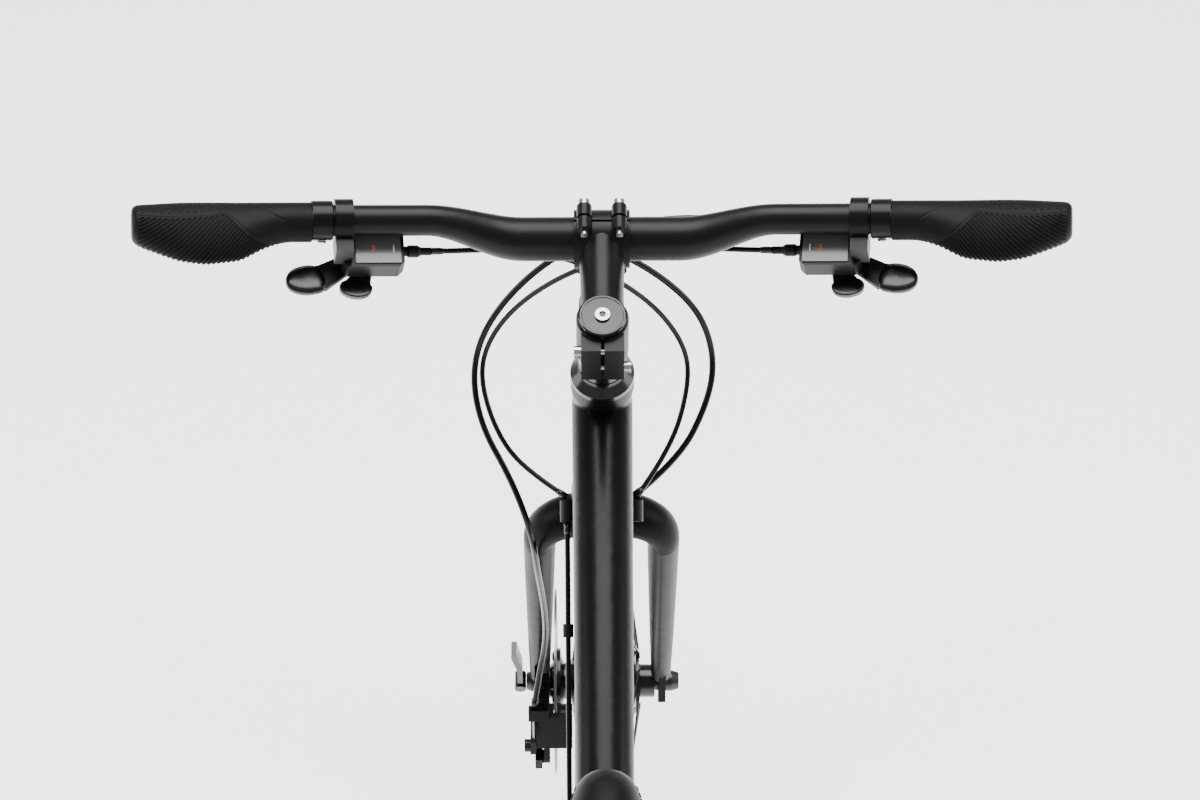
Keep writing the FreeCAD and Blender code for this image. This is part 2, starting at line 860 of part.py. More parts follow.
def seat_clamp():
    """Split collar at the top of the seat tube, with its bolt."""
    wall = d.seat_tube_diameter / 2 + d.seat_clamp_wall
    low = shift(SEAT, 0, 0, d.seat_tube_length - d.seat_clamp_height)
    band = cylinder("seat_band", wall, d.seat_clamp_height, low)
    lug_half = d.seat_clamp_lug * clamp_lug_share
    lugs = block("seat_lugs", lug_half * 2, wall + d.seat_clamp_lug * clamp_lug_share, d.seat_clamp_height,
                 shift(low, -lug_half, 0, 0))
    bore = cylinder("seat_band_bore", d.seat_tube_diameter / 2, d.seat_clamp_height + d.overrun * 2,
                    shift(low, 0, 0, -d.overrun))
    slot = block("seat_slot", d.seat_clamp_slot, wall + d.seat_clamp_lug,
                 d.seat_clamp_height + d.overrun * 2,
                 shift(low, -d.seat_clamp_slot / 2, 0, -d.overrun))
    across = at(point(low, -lug_half, wall + d.clamp_bolt / 2, d.seat_clamp_height / 2), Y_AXIS, X_AXIS)
    bolt = cylinder("seat_bolt", d.clamp_bolt / 2, lug_half * 2, across)
    collar = cut("seat_collar", fused("seat_collar_outside", [band, lugs]), [bore, slot, bolt])
    shank = cylinder("seat_bolt_shank", d.clamp_bolt / 2, lug_half * 2, across)
    head = cylinder("seat_bolt_head", d.bolt_head / 2, d.bolt_head_height,
                    shift(across, 0, 0, lug_half * 2))
    node(group("seat_clamp", [collar, shank, head]))


def headset_stack():
    """Headset cover, two spacers and the top cap on the steerer."""
    inner = d.steerer_diameter / 2
    wide = d.head_tube_diameter / 2
    narrow = d.cover_top_diameter / 2
    rim = d.cover_height * cover_rim_share
    items = [revolved("headset_cover", [
        (inner, 0), (wide, 0), (wide, rim), (narrow, d.cover_height - d.cover_lip),
        (narrow, d.cover_height),
        (inner, d.cover_height)], shift(STEER, 0, 0, cover_bottom))]
    outer = d.spacer_diameter / 2
    groove = d.spacer_groove
    for number in range(2):
        items.append(revolved(f"spacer_{number}", [
            (inner, 0), (outer - groove, 0), (outer, groove), (outer, d.spacer_height - groove),
            (outer - groove, d.spacer_height), (inner, d.spacer_height)],
            shift(STEER, 0, 0, spacer_bottom + d.spacer_height * number)))
    edge = d.cap_diameter / 2
    top = d.cap_height
    items.append(revolved("top_cap", [
        (0, 0), (edge, 0), (edge, top - d.cap_dish), (edge - d.cap_dish, top), (edge - d.cap_rim, top),
        (edge - d.cap_rim - d.cap_dish, top - d.cap_dish), (0, top - d.cap_dish)],
        shift(STEER, 0, 0, stem_top)))
    node(group("headset_stack", items))


def fork_half(name, side):
    """One half of the fork: the crown's flat, the shoulder round its bend, and the leg."""
    crown_z = crown_top - d.crown_drop
    leg_y = d.crown_half_flat + d.shoulder_radius
    bend_z = crown_z - d.shoulder_radius
    low = Vector(float(d.leg_bottom_forward), side * float(d.leg_bottom_offset), float(d.leg_bottom_height))
    top = Vector(0, side * float(leg_y), float(bend_z))
    middle = top + (low - top) * leg_mid_share
    outward = Y_AXIS * side

    def section(centre, along, deep, wide):
        return STEER.multiply(at(centre, along, X_AXIS)), deep / 2, wide / 2

    bend = []
    for number in range(shoulder_sections):
        share = number / (shoulder_sections - 1)
        turn = math.pi / 2 * share
        centre = Vector(0, side * float(d.crown_half_flat + d.shoulder_radius * math.sin(turn)),
                        float(bend_z + d.shoulder_radius * math.cos(turn)))
        deep = d.crown_depth + (d.leg_top_depth - d.crown_depth) * share
        wide = d.crown_height + (d.leg_top_width - d.crown_height) * share
        bend.append(section(centre, outward * math.cos(turn) - Z_AXIS * math.sin(turn), deep, wide))
    flat = section(Vector(0, 0, float(crown_z)), outward, d.crown_depth, d.crown_height)
    leg = [bend[-1], section(middle, low - top, d.leg_mid_depth, d.leg_mid_width),
           section(low, low - top, d.leg_bottom_depth, d.leg_bottom_width)]
    return [lofted(f"crown_{name}", [flat, bend[0]]), lofted(f"shoulder_{name}", bend),
            lofted(f"leg_{name}", leg)]


def fork_outline(braked):
    """Fork dropout beside the steering axis: slot open downwards, leg tab, fingers to the brake if asked."""
    slot = d.axle_diameter / 2 + d.running_gap
    lip = d.dropout_lip
    half = d.fork_tab_half_width
    axle_x = d.fork_offset
    leg_x = d.leg_bottom_forward
    corners = [(axle_x - slot, -lip), (axle_x - slot, slot), (axle_x + slot, slot), (axle_x + slot, -lip),
               (axle_x + lip, -lip), (axle_x + lip, lip)]
    if braked:
        upper, lower = [STEER.inverse().multVec(ear.Base) for _, ear in caliper_ears(FRONT_BRAKE)]
        wide = d.ear_diameter / 2 + d.ear_wall
        corners += [(leg_x + half, upper.z + wide), (upper.x - wide, upper.z + wide),
                    (upper.x - wide, upper.z - wide),
                    (leg_x - half, upper.z - wide * 2), (leg_x - half, lower.z + wide * 2),
                    (lower.x - wide, lower.z + wide), (lower.x - wide, lower.z - wide)]
    else:
        corners += [(leg_x + half, d.fork_tab_height), (leg_x - half, d.fork_tab_height),
                    (axle_x - d.fork_eyelet_back - d.eyelet_hole * 2, d.fork_eyelet_up),
                    (axle_x - d.fork_eyelet_back, d.fork_eyelet_up - lip)]
    return corners + [(axle_x - lip, -lip)]


def fork():
    """Steerer, crown, legs, dropouts and the brake tab, welded into one piece."""
    steerer_base = crown_top - d.crown_drop
    items = [cylinder("steerer", d.steerer_diameter / 2, stem_top - d.steerer_gap - steerer_base,
                      shift(STEER, 0, 0, steerer_base)),
             cylinder("crown_race", d.lower_cup_diameter / 2 - d.cap_rim, d.crown_drop,
                      shift(STEER, 0, 0, steerer_base))]
    holes = []
    axle_x = d.fork_offset
    for name, side in SIDES.items():
        items += fork_half(name, side)
        start = d.front_hub_width / 2 if side > 0 else -d.front_hub_width / 2 - d.dropout_thickness
        plate = STEER.multiply(at(Y_AXIS * float(start + d.dropout_thickness), -Y_AXIS, X_AXIS))
        items.append(padded(f"fork_dropout_{name}", fork_outline(name == "left"), d.dropout_thickness,
                            plate))
        eyelet = shift(plate, axle_x - d.fork_eyelet_back, d.fork_eyelet_up / 2, -d.overrun)
        holes.append(cylinder(f"fork_eyelet_{name}", d.eyelet_hole / 2, d.dropout_thickness + d.overrun * 2,
                              eyelet))
    boss_height = d.front_hub_width / 2 - front_rotor - d.ear_start - d.ear_thickness
    boss_height = boss_height + d.dropout_thickness / 2
    for label, ear in caliper_ears(FRONT_BRAKE):
        items.append(cylinder(f"front_{label}_boss", d.ear_diameter / 2, boss_height, ear))
    welded = fused("fork_outside", items)
    node(cut("fork", welded, holes))


def stem_half(label, front):
    """Half of the handlebar clamp with its four bolt ears."""
    ring_cylinder = cylinder(f"{label}_ring", d.bar_clamp_diameter / 2, d.bar_clamp_width,
                             at(point(STEM, -d.bar_clamp_width / 2, 0, 0), Y_AXIS, X_AXIS))
    depth = d.stem_ear_depth
    start = d.stem_split / 2 if front else -depth - d.stem_split / 2
    ears = [cylinder(f"{label}_ear_{number}", d.stem_ear_diameter / 2, depth, shift(STEM, x, y, start))
            for number, (x, y) in enumerate(faceplate_bolts())]
    big = d.bar_clamp_width * 2
    away = -big + d.stem_split / 2 if front else -d.stem_split / 2
    other_half = block(f"{label}_other_half", big, big, big, shift(STEM, -big / 2, -big / 2, away))
    bore = cylinder(f"{label}_bar_bore", d.bar_diameter / 2, d.bar_clamp_width + d.overrun * 2,
                    at(point(STEM, -d.bar_clamp_width / 2 - d.overrun, 0, 0), Y_AXIS, X_AXIS))
    bolts = [cylinder(f"{label}_bolt_hole_{number}", d.clamp_bolt / 2, depth * 4,
                      shift(STEM, x, y, -depth * 2))
             for number, (x, y) in enumerate(faceplate_bolts())]
    return [ring_cylinder] + ears, [bore, other_half] + bolts


def faceplate_bolts():
    """Places of the four faceplate bolts, left and up from the bar's centre."""
    across = d.faceplate_bolt_spread / 2
    up = d.faceplate_bolt_height / 2
    return [(across, up), (-across, up), (across, -up), (-across, -up)]


def clamp_bolt_places():
    """Start and direction of the two opposed steerer clamp bolts."""
    back = -d.stem_clamp_diameter / 2 - d.stem_lug / 2 + d.stem_slot
    rows = [(d.stem_clamp_height / 2 - d.stem_bolt_spread / 2, 1),
            (d.stem_clamp_height / 2 + d.stem_bolt_spread / 2, -1)]
    places = []
    for height, side in rows:
        start = point(STEER, back, -d.stem_lug_width / 2 * side, stem_bottom + height)
        places.append(at(start, Y_AXIS * side, X_AXIS))
    return places


def stem():
    """Stem body, faceplate and their bolts."""
    clamp_cylinder = cylinder("stem_clamp", d.stem_clamp_diameter / 2, d.stem_clamp_height,
                              shift(STEER, 0, 0, stem_bottom))
    lug = block("stem_lug", d.stem_clamp_diameter / 2 + d.stem_lug, d.stem_lug_width,
                d.stem_clamp_height - d.stem_slot,
                shift(STEER, -d.stem_clamp_diameter / 2 - d.stem_lug + d.stem_slot, -d.stem_lug_width / 2,
                      stem_bottom + d.stem_slot / 2))
    length = float(d.stem_length)
    tall = STEM.Rotation.multVec(Y_AXIS)
    arm = lofted("stem_arm", [
        (at(point(STEM, 0, 0, -length), stem_run, tall), d.stem_arm_height / 2, d.stem_arm_width / 2),
        (at(point(STEM, 0, 0, -length * stem_waist_share), stem_run, tall), d.stem_waist_height / 2,
         d.stem_waist_width / 2),
        (at(point(STEM, 0, 0, -d.bar_diameter / 4), stem_run, tall), d.stem_end_height / 2,
         d.stem_end_width / 2)])
    rear_items, rear_tools = stem_half("stem_rear", False)
    steerer_bore = cylinder("stem_steerer_bore", d.steerer_diameter / 2,
                            d.stem_clamp_height + d.overrun * 2,
                            shift(STEER, 0, 0, stem_bottom - d.overrun))
    slot_depth = d.stem_clamp_diameter / 2 + d.stem_lug * 2
    slot = block("stem_slot_cut", slot_depth, d.stem_slot, d.stem_clamp_height + d.overrun * 2,
                 shift(STEER, -slot_depth, -d.stem_slot / 2, stem_bottom - d.overrun))
    clamp_holes = [cylinder(f"stem_clamp_hole_{number}", d.clamp_bolt / 2, d.stem_lug_width + d.overrun,
                            place)
                   for number, place in enumerate(clamp_bolt_places())]
    body = fused("stem_outside", [clamp_cylinder, lug, arm] + rear_items)
    node(cut("stem", body, [steerer_bore, slot] + clamp_holes + rear_tools))
    front_items, front_tools = stem_half("faceplate", True)
    node(cut("stem_faceplate", fused("faceplate_outside", front_items), front_tools))
    bolts = []
    depth = d.stem_ear_depth + d.stem_split / 2
    for number, (x, y) in enumerate(faceplate_bolts()):
        tail = -depth - d.bolt_tail
        bolts.append(cylinder(f"faceplate_bolt_{number}", d.clamp_bolt / 2, depth * 2 + d.bolt_tail,
                              shift(STEM, x, y, tail)))
        bolts.append(cylinder(f"faceplate_head_{number}", d.bolt_head / 2, d.bolt_head_height,
                              shift(STEM, x, y, depth)))
    for number, place in enumerate(clamp_bolt_places()):
        bolts.append(cylinder(f"clamp_bolt_{number}", d.clamp_bolt / 2, d.stem_lug_width, place))
        bolts.append(cylinder(f"clamp_head_{number}", d.bolt_head / 2, d.bolt_head_height,
                              shift(place, 0, 0, -d.bolt_head_height)))
    head = cylinder("cap_bolt_head", d.cap_bolt_diameter / 2, d.cap_bolt_height,
                    shift(STEER, 0, 0, stem_top + d.cap_height - d.cap_dish))
    socket = cylinder("cap_bolt_socket", d.hex_socket / 2, d.cap_bolt_height,
                      shift(STEER, 0, 0, stem_top + d.cap_height))
    bolts.append(cut("cap_bolt", head, [socket]))
    node(group("stem_bolts", bolts))


def bar_point(across):
    """Centre line of the left half of the handlebar at a distance from the centre plane."""
    start = bar_straight
    run = bar_bend
    share = min(max((across - start) / run, 0), 1)
    eased = share * share * (3 - 2 * share)
    swept = run * (share ** 3 - share ** 4 / 2) + max(across - start - run, 0)
    back = -math.tan(math.radians(d.bar_backsweep)) * swept
    up = float(d.bar_rise) * eased + math.tan(math.radians(d.bar_upsweep)) * swept
    return bar_centre + Vector(back, across, up)


def handlebar():
    """Riser bar: fat clamp section, tapered bends and swept grip sections."""
    wide = d.bar_diameter / 2
    thin = d.grip_bar_diameter / 2
    start = bar_straight
    bend = bar_bend
    step = bend * bar_step_share
    sections = []
    for number in range(bar_sections):
        share = number / (bar_sections - 1)
        across = start + bend * share
        along = bar_point(across + step) - bar_point(across - step)
        if share == 0:
            along = Y_AXIS
        if share == 1:
            along = BAR_END.Base - bar_point(across)
        radius = wide + (thin - wide) * (share * share * (3 - 2 * share))
        sections.append((at(bar_point(across), along, X_AXIS), radius, radius))
    middle = lofted("bar_middle", [(at(bar_point(0), Y_AXIS, X_AXIS), wide, wide), sections[0]])
    bend_left = lofted("bar_bend_left", sections)
    tip = (Placement(BAR_END.Base, sections[-1][0].Rotation), thin, thin)
    end_left = lofted("bar_end_left", [sections[-1], tip])
    left = fused("bar_left", [middle, bend_left, end_left])
    items = [left, mirrored("bar_right", left)]
    node(fused("handlebar", items))


def grips():
    """Two winged grips, each a closed form round the bar, with their clamp collars."""
    tilt = math.radians(d.grip_wing_tilt)
    rows = zip(grip_place_shares, grip_depth_shares, grip_back_shares)
    sections = []
    for place, deep, back in rows:
        offset = float(d.grip_wing_depth) * back
        centre = Vector(-offset * math.cos(tilt), -offset * math.sin(tilt), float(d.grip_length) * place)
        local = at(centre, Z_AXIS, Vector(-math.cos(tilt), -math.sin(tilt), 0))
        thick = min(d.grip_thickness / 2, d.grip_wing_depth * deep)
        sections.append((CTRL.multiply(local), d.grip_wing_depth * deep, thick))
    outside = lofted("grip_outside", sections)
    bore = cylinder("grip_bore", d.grip_bar_diameter / 2, d.grip_length + d.overrun,
                    shift(CTRL, 0, 0, d.grip_end))
    left = cut("grip_left", outside, [bore])
    node(group("grips", [left, mirrored("grip_right", left)]))
    outer = d.collar_diameter / 2
    edge = d.spacer_groove
    inner = d.grip_bar_diameter / 2
    collar = revolved("collar_left", [
        (inner, 0), (outer - edge, 0), (outer, edge), (outer, d.collar_width - edge),
        (outer - edge, d.collar_width), (inner, d.collar_width)], shift(CTRL, 0, 0, d.grip_length))
    node(group("grip_collars", [collar, mirrored("collar_right", collar)]))


def brake_controls():
    """Lever mounts with pivot pins and adjusters, and the two brake lever blades."""
    inner = d.grip_bar_diameter / 2
    pivot = d.lever_pivot_place
    reach = d.lever_pivot_reach
    half = d.mount_thickness / 2
    low = d.mount_start
    high = d.mount_start + d.mount_band
    band = cylinder("mount_band", d.mount_diameter / 2, d.mount_band, shift(CTRL, 0, 0, low))
    wide = d.mount_side
    arm = padded("mount_arm", [
        (low, 0), (high, 0), (pivot + wide, reach - wide), (pivot + wide, reach + wide),
        (pivot - wide, reach + wide),
        (pivot - wide, reach - wide)], d.mount_thickness, shift(LEVER, 0, 0, -half))
    bore = cylinder("mount_bore", inner, d.mount_band * 4, shift(CTRL, 0, 0, low - d.mount_band))
    tine = d.lever_thickness / 2 + d.face_gap
    slot = block("mount_slot", wide * 4, wide * 4, tine * 2,
                 shift(LEVER, pivot - wide * 2, reach - wide - d.lever_slot_depth, -tine))
    pin_hole = cylinder("mount_pin_hole", d.pivot_pin / 2, d.mount_thickness,
                        shift(LEVER, pivot, reach, -half))
    body = cut("mount_left_body", fused("mount_left_outside", [band, arm]), [bore, slot, pin_hole])
    pin = cylinder("mount_left_pin", d.pivot_pin / 2, d.mount_thickness, shift(LEVER, pivot, reach, -half))
    sleeve = adjuster("brake_adjuster_left", at(
        point(LEVER, pivot + wide, reach - wide / 2, 0), LEVER.Rotation.multVec(X_AXIS), Z_AXIS),
        d.brake_housing)
    left = group("mount_left", [body, pin, sleeve])
    node(group("brake_lever_mounts", [left, mirrored("mount_right", left)]))
    boss = d.lever_boss
    thick = d.lever_width
    tip_reach = d.lever_tip_reach
    front = [(pivot - d.lever_length * along, reach + (tip_reach - reach) * out)
             for along, out in zip(lever_along_shares, lever_out_shares)]
    back = [(x, y - thick) for x, y in reversed(front)]
    blade_outline = [(pivot + boss, reach - boss), (pivot + boss, reach + boss)] + front + back
    blade_outline.append((pivot - boss, reach - boss))
    blade = padded("lever_left_blade", blade_outline, d.lever_thickness,
                   shift(LEVER, 0, 0, -d.lever_thickness / 2))
    bore = cylinder("lever_left_bore", d.pivot_pin / 2 + d.running_gap, d.lever_thickness + d.overrun,
                    shift(LEVER, pivot, reach, -d.lever_thickness / 2 - d.overrun / 2))
    left = node(cut("brake_lever_left", blade, [bore]))
    node(mirrored("brake_lever_right", left))


def adjuster(label, place, housing):
    """Barrel adjuster with a fluted waist and a ferrule for the cable housing."""
    big = d.adjuster_diameter / 2
    waist = big * adjuster_waist_share
    length = d.adjuster_length
    first, second, third = [length * share for share in adjuster_step_shares]
    ferrule = housing / 2 + d.ferrule_wall
    return revolved(label, [
        (0, 0), (waist, 0), (waist, first), (big, second), (big, third), (ferrule, length),
        (ferrule, length + d.ferrule_length), (0, length + d.ferrule_length)], place)


def shift_controls():
    """Shifter pods with gear windows, thumb paddles and release levers."""
    start = d.pod_start
    end = d.pod_start + d.pod_length
    back = d.pod_back
    front = d.pod_front
    corner = d.pod_corner
    thick = d.pod_thickness
    outline = [(start, -back + corner), (start + corner, -back), (end - corner, -back),
               (end, -back + corner),
               (end, front - corner), (end - corner, front), (start + corner, front),
               (start, front - corner)]
    shell = padded("pod_shell", outline, thick, shift(POD, 0, 0, -thick))
    neck = block("pod_neck", d.mount_band - d.face_gap, front + back - corner * 2, d.pod_drop,
                 shift(POD, d.mount_start + d.face_gap / 2, -back + corner, -corner))
    pin_x = d.pod_start + d.paddle_pivot
    pin_length = (d.paddle_thickness + d.face_gap) * 2 + d.face_gap
    pin = cylinder("pod_pin", d.pivot_pin / 2, pin_length + corner,
                   shift(POD, pin_x, 0, -thick - pin_length))
    clear = cylinder("pod_clear", d.mount_diameter / 2, d.mount_band * 4,
                     shift(CTRL, 0, 0, d.mount_start - d.mount_band))
    arm_clear = block("pod_arm_clear", d.mount_side * 6, d.mount_side * 6, d.mount_thickness,
                      shift(LEVER, d.lever_pivot_place - d.mount_side * 3, 0, -d.mount_thickness / 2))
    body = cut("pod_left_body", fused("pod_left_outside", [shell, neck, pin]), [clear, arm_clear])
    sleeve = adjuster("shift_adjuster_left", at(
        point(POD, end, 0, -thick / 2), POD.Rotation.multVec(X_AXIS), Z_AXIS), d.shift_housing)
    left = group("pod_left", [body, sleeve])
    node(group("shifter_pods", [left, mirrored("pod_right", left)]))
    edge = d.window_margin
    inset = d.mount_start + d.mount_band + edge
    window = padded("window_left", [
        (inset, -back + edge), (end - edge, -back + edge), (end - edge, front - edge * 2),
        (inset, front - edge * 2)],
        d.window_thickness, POD)
    node(group("gear_windows", [window, mirrored("window_right", window)]))
    hub = d.paddle_hub
    plans = {
        "shift_paddle": (0, [(along * float(d.paddle_length), out * float(d.paddle_reach))
                             for along, out in paddle_outline_shares]),
        "release_lever": (1, [(along * float(d.release_length), out * float(d.release_reach))
                              for along, out in release_outline_shares])}
    for label, (level, points) in plans.items():
        bottom = -thick - (d.paddle_thickness + d.face_gap) * (level + 1)
        outline = [(hub, hub), (hub, -hub)] + points + [(-hub, hub)]
        plate = padded(f"{label}_plate", outline, d.paddle_thickness, shift(POD, pin_x, 0, bottom))
        bore = cylinder(f"{label}_bore", d.pivot_pin / 2 + d.running_gap, d.paddle_thickness + d.overrun,
                        shift(POD, pin_x, 0, bottom - d.overrun / 2))
        left = node(cut(f"{label}_left", plate, [bore]))
        node(mirrored(f"{label}_right", left))


def brake_frame(centre, outward, rotor_plane):
    """Frame of a disc caliper: X along the rotor's turn, Y outwards from the axle, Z to the left."""
    radius = float(d.rotor_diameter / 2 - d.pad_height / 2)
    return at(centre + outward * radius + Y_AXIS * float(rotor_plane), Y_AXIS, outward.cross(Y_AXIS))


def caliper_ears(place):
    """Centres of the caliper's two fixing ears, at their outer faces."""
    spread = d.ear_spacing / 2
    return [("upper_ear", shift(place, -spread, -d.ear_inset, d.ear_start + d.ear_thickness)),
            ("lower_ear", shift(place, spread, -d.ear_inset, d.ear_start + d.ear_thickness))]


def caliper(name, place, arm_place):
    """Mechanical disc caliper: two housings, bridge, ears and pads, and its swinging arm."""
    face = d.rotor_thickness / 2 + d.face_gap
    back = face + d.pad_thickness
    depth = d.caliper_depth
    inner_end = d.caliper_inner_depth
    big = d.caliper_diameter / 2
    half = d.bridge_half_width
    edge = d.pad_height / 2 + d.rotor_clearance
    items = [
        cylinder(f"{name}_outer_housing", big, depth - back, shift(place, 0, 0, back)),
        cylinder(f"{name}_inner_housing", big - d.caliper_step, inner_end - back,
                 shift(place, 0, 0, -inner_end)),
        block(f"{name}_bridge", half * 2, d.bridge_height, depth + inner_end,
              shift(place, -half, edge, -inner_end)),
        block(f"{name}_ear_bar", d.ear_spacing, d.ear_diameter, d.ear_thickness,
              shift(place, -d.ear_spacing / 2, -d.ear_inset - d.ear_diameter / 2, d.ear_start)),
        cylinder(f"{name}_arm_pin", d.arm_pin / 2, d.arm_thickness + d.face_gap * 2,
                 shift(place, 0, 0, depth))]
    for label, ear in caliper_ears(place):
        items.append(cylinder(f"{name}_{label}", d.ear_diameter / 2, d.ear_thickness,
                              shift(ear, 0, 0, -d.ear_thickness)))
    far = d.stop_inset + d.stop_width
    low = d.strut_root
    level = d.stop_start
    items += [
        block(f"{name}_strut_across", far, d.strut_width, d.strut_thickness,
              shift(arm_place, -far, low, level)),
        block(f"{name}_strut_up", d.stop_width, d.stop_reach - low, d.strut_thickness,
              shift(arm_place, -far, low, level)),
        block(f"{name}_stop_post", d.stop_width, d.stop_width, d.stop_height,
              shift(arm_place, -far, d.stop_reach - d.stop_width, level))]
    body = fused(f"{name}_caliper_body", items)
    half_pad = d.pad_width / 2
    pads = [block(f"{name}_pad_{number}", d.pad_width, d.pad_height, d.pad_thickness,
                  shift(place, -half_pad, -d.pad_height / 2, start))
            for number, start in enumerate((face, -back))]
    clear = [cylinder(f"{name}_pad_room", d.rotor_diameter / 2 + d.rotor_clearance, back * 2,
                      shift(place, 0, -d.rotor_diameter / 2 + d.pad_height / 2, -back))]
    node(group(f"{name}_caliper", [cut(f"{name}_caliper_shell", body, clear)] + pads))
    hub = d.arm_hub / 2
    tip = d.arm_tip / 2
    length = d.arm_length
    outline = [(-hub, -hub), (hub, -hub), (hub, hub), (tip, length), (-tip, length), (-hub, hub)]
    level = depth + d.face_gap
    plate = padded(f"{name}_arm_plate", outline, d.arm_thickness, shift(arm_place, 0, 0, level))
    bore = cylinder(f"{name}_arm_bore", d.arm_pin / 2 + d.running_gap, d.arm_thickness + d.overrun,
                    shift(place, 0, 0, level - d.overrun / 2))
    clamp = cylinder(f"{name}_arm_clamp", tip, d.arm_thickness + d.bolt_head_height,
                     shift(arm_place, 0, length - tip, level))
    node(cut(f"{name}_caliper_arm", fused(f"{name}_arm_outside", [plate, clamp]), [bore]))


def tyre_and_rim(name, place):
    """Tyre with its beads, and the hollow rim, turned about the axle."""
    section = float(d.tyre_section / 2)
    centre = float(wheel_radius) - section
    hollow = section - float(d.tyre_wall)
    neck = float(d.bead_seat_diameter / 2 + d.rim_hook + d.face_gap)
    foot = float(d.bead_seat_diameter / 2 + d.face_gap)
    step = neck + float(d.tyre_wall)
    bead_out = float(d.rim_inner_width / 2 - d.face_gap)
    bead_in = bead_out - float(d.bead_thickness)

    def wide(radius, reach):
        return math.sqrt(radius * radius - (reach - centre) ** 2)

    def spot(across, reach):
        return Vector(reach, 0, across)

    corners = [spot(wide(section, neck), neck), spot(bead_out, neck), spot(bead_out, foot),
               spot(bead_in, foot),
               spot(bead_in, step), spot(wide(hollow, step), step)]
    other = [Vector(p.x, 0, -p.z) for p in reversed(corners)]
    edges = [Part.LineSegment(a, b).toShape() for a, b in zip(corners, corners[1:])]
    edges.append(Part.Arc(corners[-1], spot(0, centre + hollow), other[0]).toShape())
    edges += [Part.LineSegment(a, b).toShape() for a, b in zip(other, other[1:])]
    edges.append(Part.Arc(other[-1], spot(0, centre + section), corners[0]).toShape())
    face = Part.Face(Part.Wire(edges))
    tyre = shaped(f"{name}_tyre", face.revolve(Vector(0, 0, 0), Z_AXIS, 360))
    tyre.Placement = place
    node(tyre)
    seat = d.bead_seat_diameter / 2
    inside = d.rim_inner_width / 2
    outside = inside + d.rim_wall
    keel = d.rim_keel / 2
    bottom = seat - d.rim_depth
    well = seat - d.rim_well
    rim = revolved(f"{name}_rim_solid", [
        (seat + d.rim_hook, outside), (seat + d.rim_hook, inside), (seat, inside), (well, keel),
        (well, -keel),
        (seat, -inside), (seat + d.rim_hook, -inside), (seat + d.rim_hook, -outside),
        (seat - d.rim_hook, -outside),
        (bottom, -keel), (bottom, keel), (seat - d.rim_hook, outside)], place)
    wall = d.rim_wall
    chamber = revolved(f"{name}_rim_chamber", [
        (well - wall, keel), (well - wall, -keel), (seat - d.rim_hook, -outside + wall),
        (bottom + wall * 2, -keel + wall),
        (bottom + wall * 2, keel - wall), (seat - d.rim_hook, outside - wall)], place)
    node(cut(f"{name}_rim", rim, [chamber]))


def hub(name, place, left_end, right_end, left_flange, right_flange, rotor_plane):
    """Hub shell with two spoke flanges, a disc seat and a bearing in each end."""
    tall = d.flange_diameter / 2
    half = d.flange_thickness / 2
    slim = d.hub_waist / 2
    nose = d.hub_nose / 2
    seat = d.rotor_seat / 2
    spigot = d.rotor_spigot / 2
    under = rotor_plane - d.rotor_thickness / 2
    over = rotor_plane + d.rotor_thickness
    bearing = d.bearing_diameter / 2
    room = d.axle_diameter / 2 + d.axle_room
    wide = d.bearing_width
    taper = d.flange_thickness
    corners = [
        (nose, right_end), (nose, right_flange - half), (tall, right_flange - half),
        (tall, right_flange + half),
        (slim, right_flange + half + taper), (slim, left_flange - half - taper), (tall, left_flange - half),
        (tall, left_flange + half), (slim, left_flange + half + taper), (slim, under - taper * 2),
        (seat, under - taper), (seat, under), (spigot, under), (spigot, over),
        (nose, over + d.flange_thickness),
        (nose, left_end), (bearing, left_end), (bearing, left_end - wide), (room, left_end - wide),
        (room, right_end + wide), (bearing, right_end + wide), (bearing, right_end)]
    shell = revolved(f"{name}_hub_shell", corners, place)
    inner = d.axle_diameter / 2 + d.running_gap
    bearings = [ring(f"{name}_bearing_{number}", bearing, inner, wide, shift(place, 0, 0, start))
                for number, start in enumerate((right_end, left_end - wide))]
    node(group(f"{name}_hub", [shell] + bearings))


def spokes(name, place, left_flange, right_flange):
    """Thirty-two spokes laced three cross, each with its nipple at the rim."""
    count = spoke_count
    hole = float(d.spoke_circle / 2)
    rim_inside = float(d.bead_seat_diameter / 2 - d.rim_depth)
    seat = rim_inside + float(d.rim_wall)
    step = 2 * math.pi / (count / 2)
    radius = float(d.spoke_diameter / 2)
    solids = []
    for number in range(count):
        left = number % 2 == 0
        row = number // 2
        flange = float(left_flange if left else right_flange)
        turn = 1 if row % 2 == 0 else -1
        start_angle = step * row + (0 if left else step / 2)
        end_angle = start_angle + turn * step * spoke_crosses
        start = Vector(hole * math.cos(start_angle), hole * math.sin(start_angle),
                       flange + turn * float(d.spoke_offset))
        side = 1 if left else -1
        end = Vector(seat * math.cos(end_angle), seat * math.sin(end_angle), side * float(d.nipple_stagger))
        run = end - start
        along = Vector(run).normalize()
        bare = run.Length - float(d.nipple_length)
        solids.append(Part.makeCylinder(radius, bare, start, along))
        solids.append(Part.makeCylinder(float(d.nipple_diameter / 2), float(d.nipple_length),
                                        start + along * bare, along))
    item = shaped(f"{name}_spokes", Part.makeCompound(solids))
    item.Placement = place
    node(item)


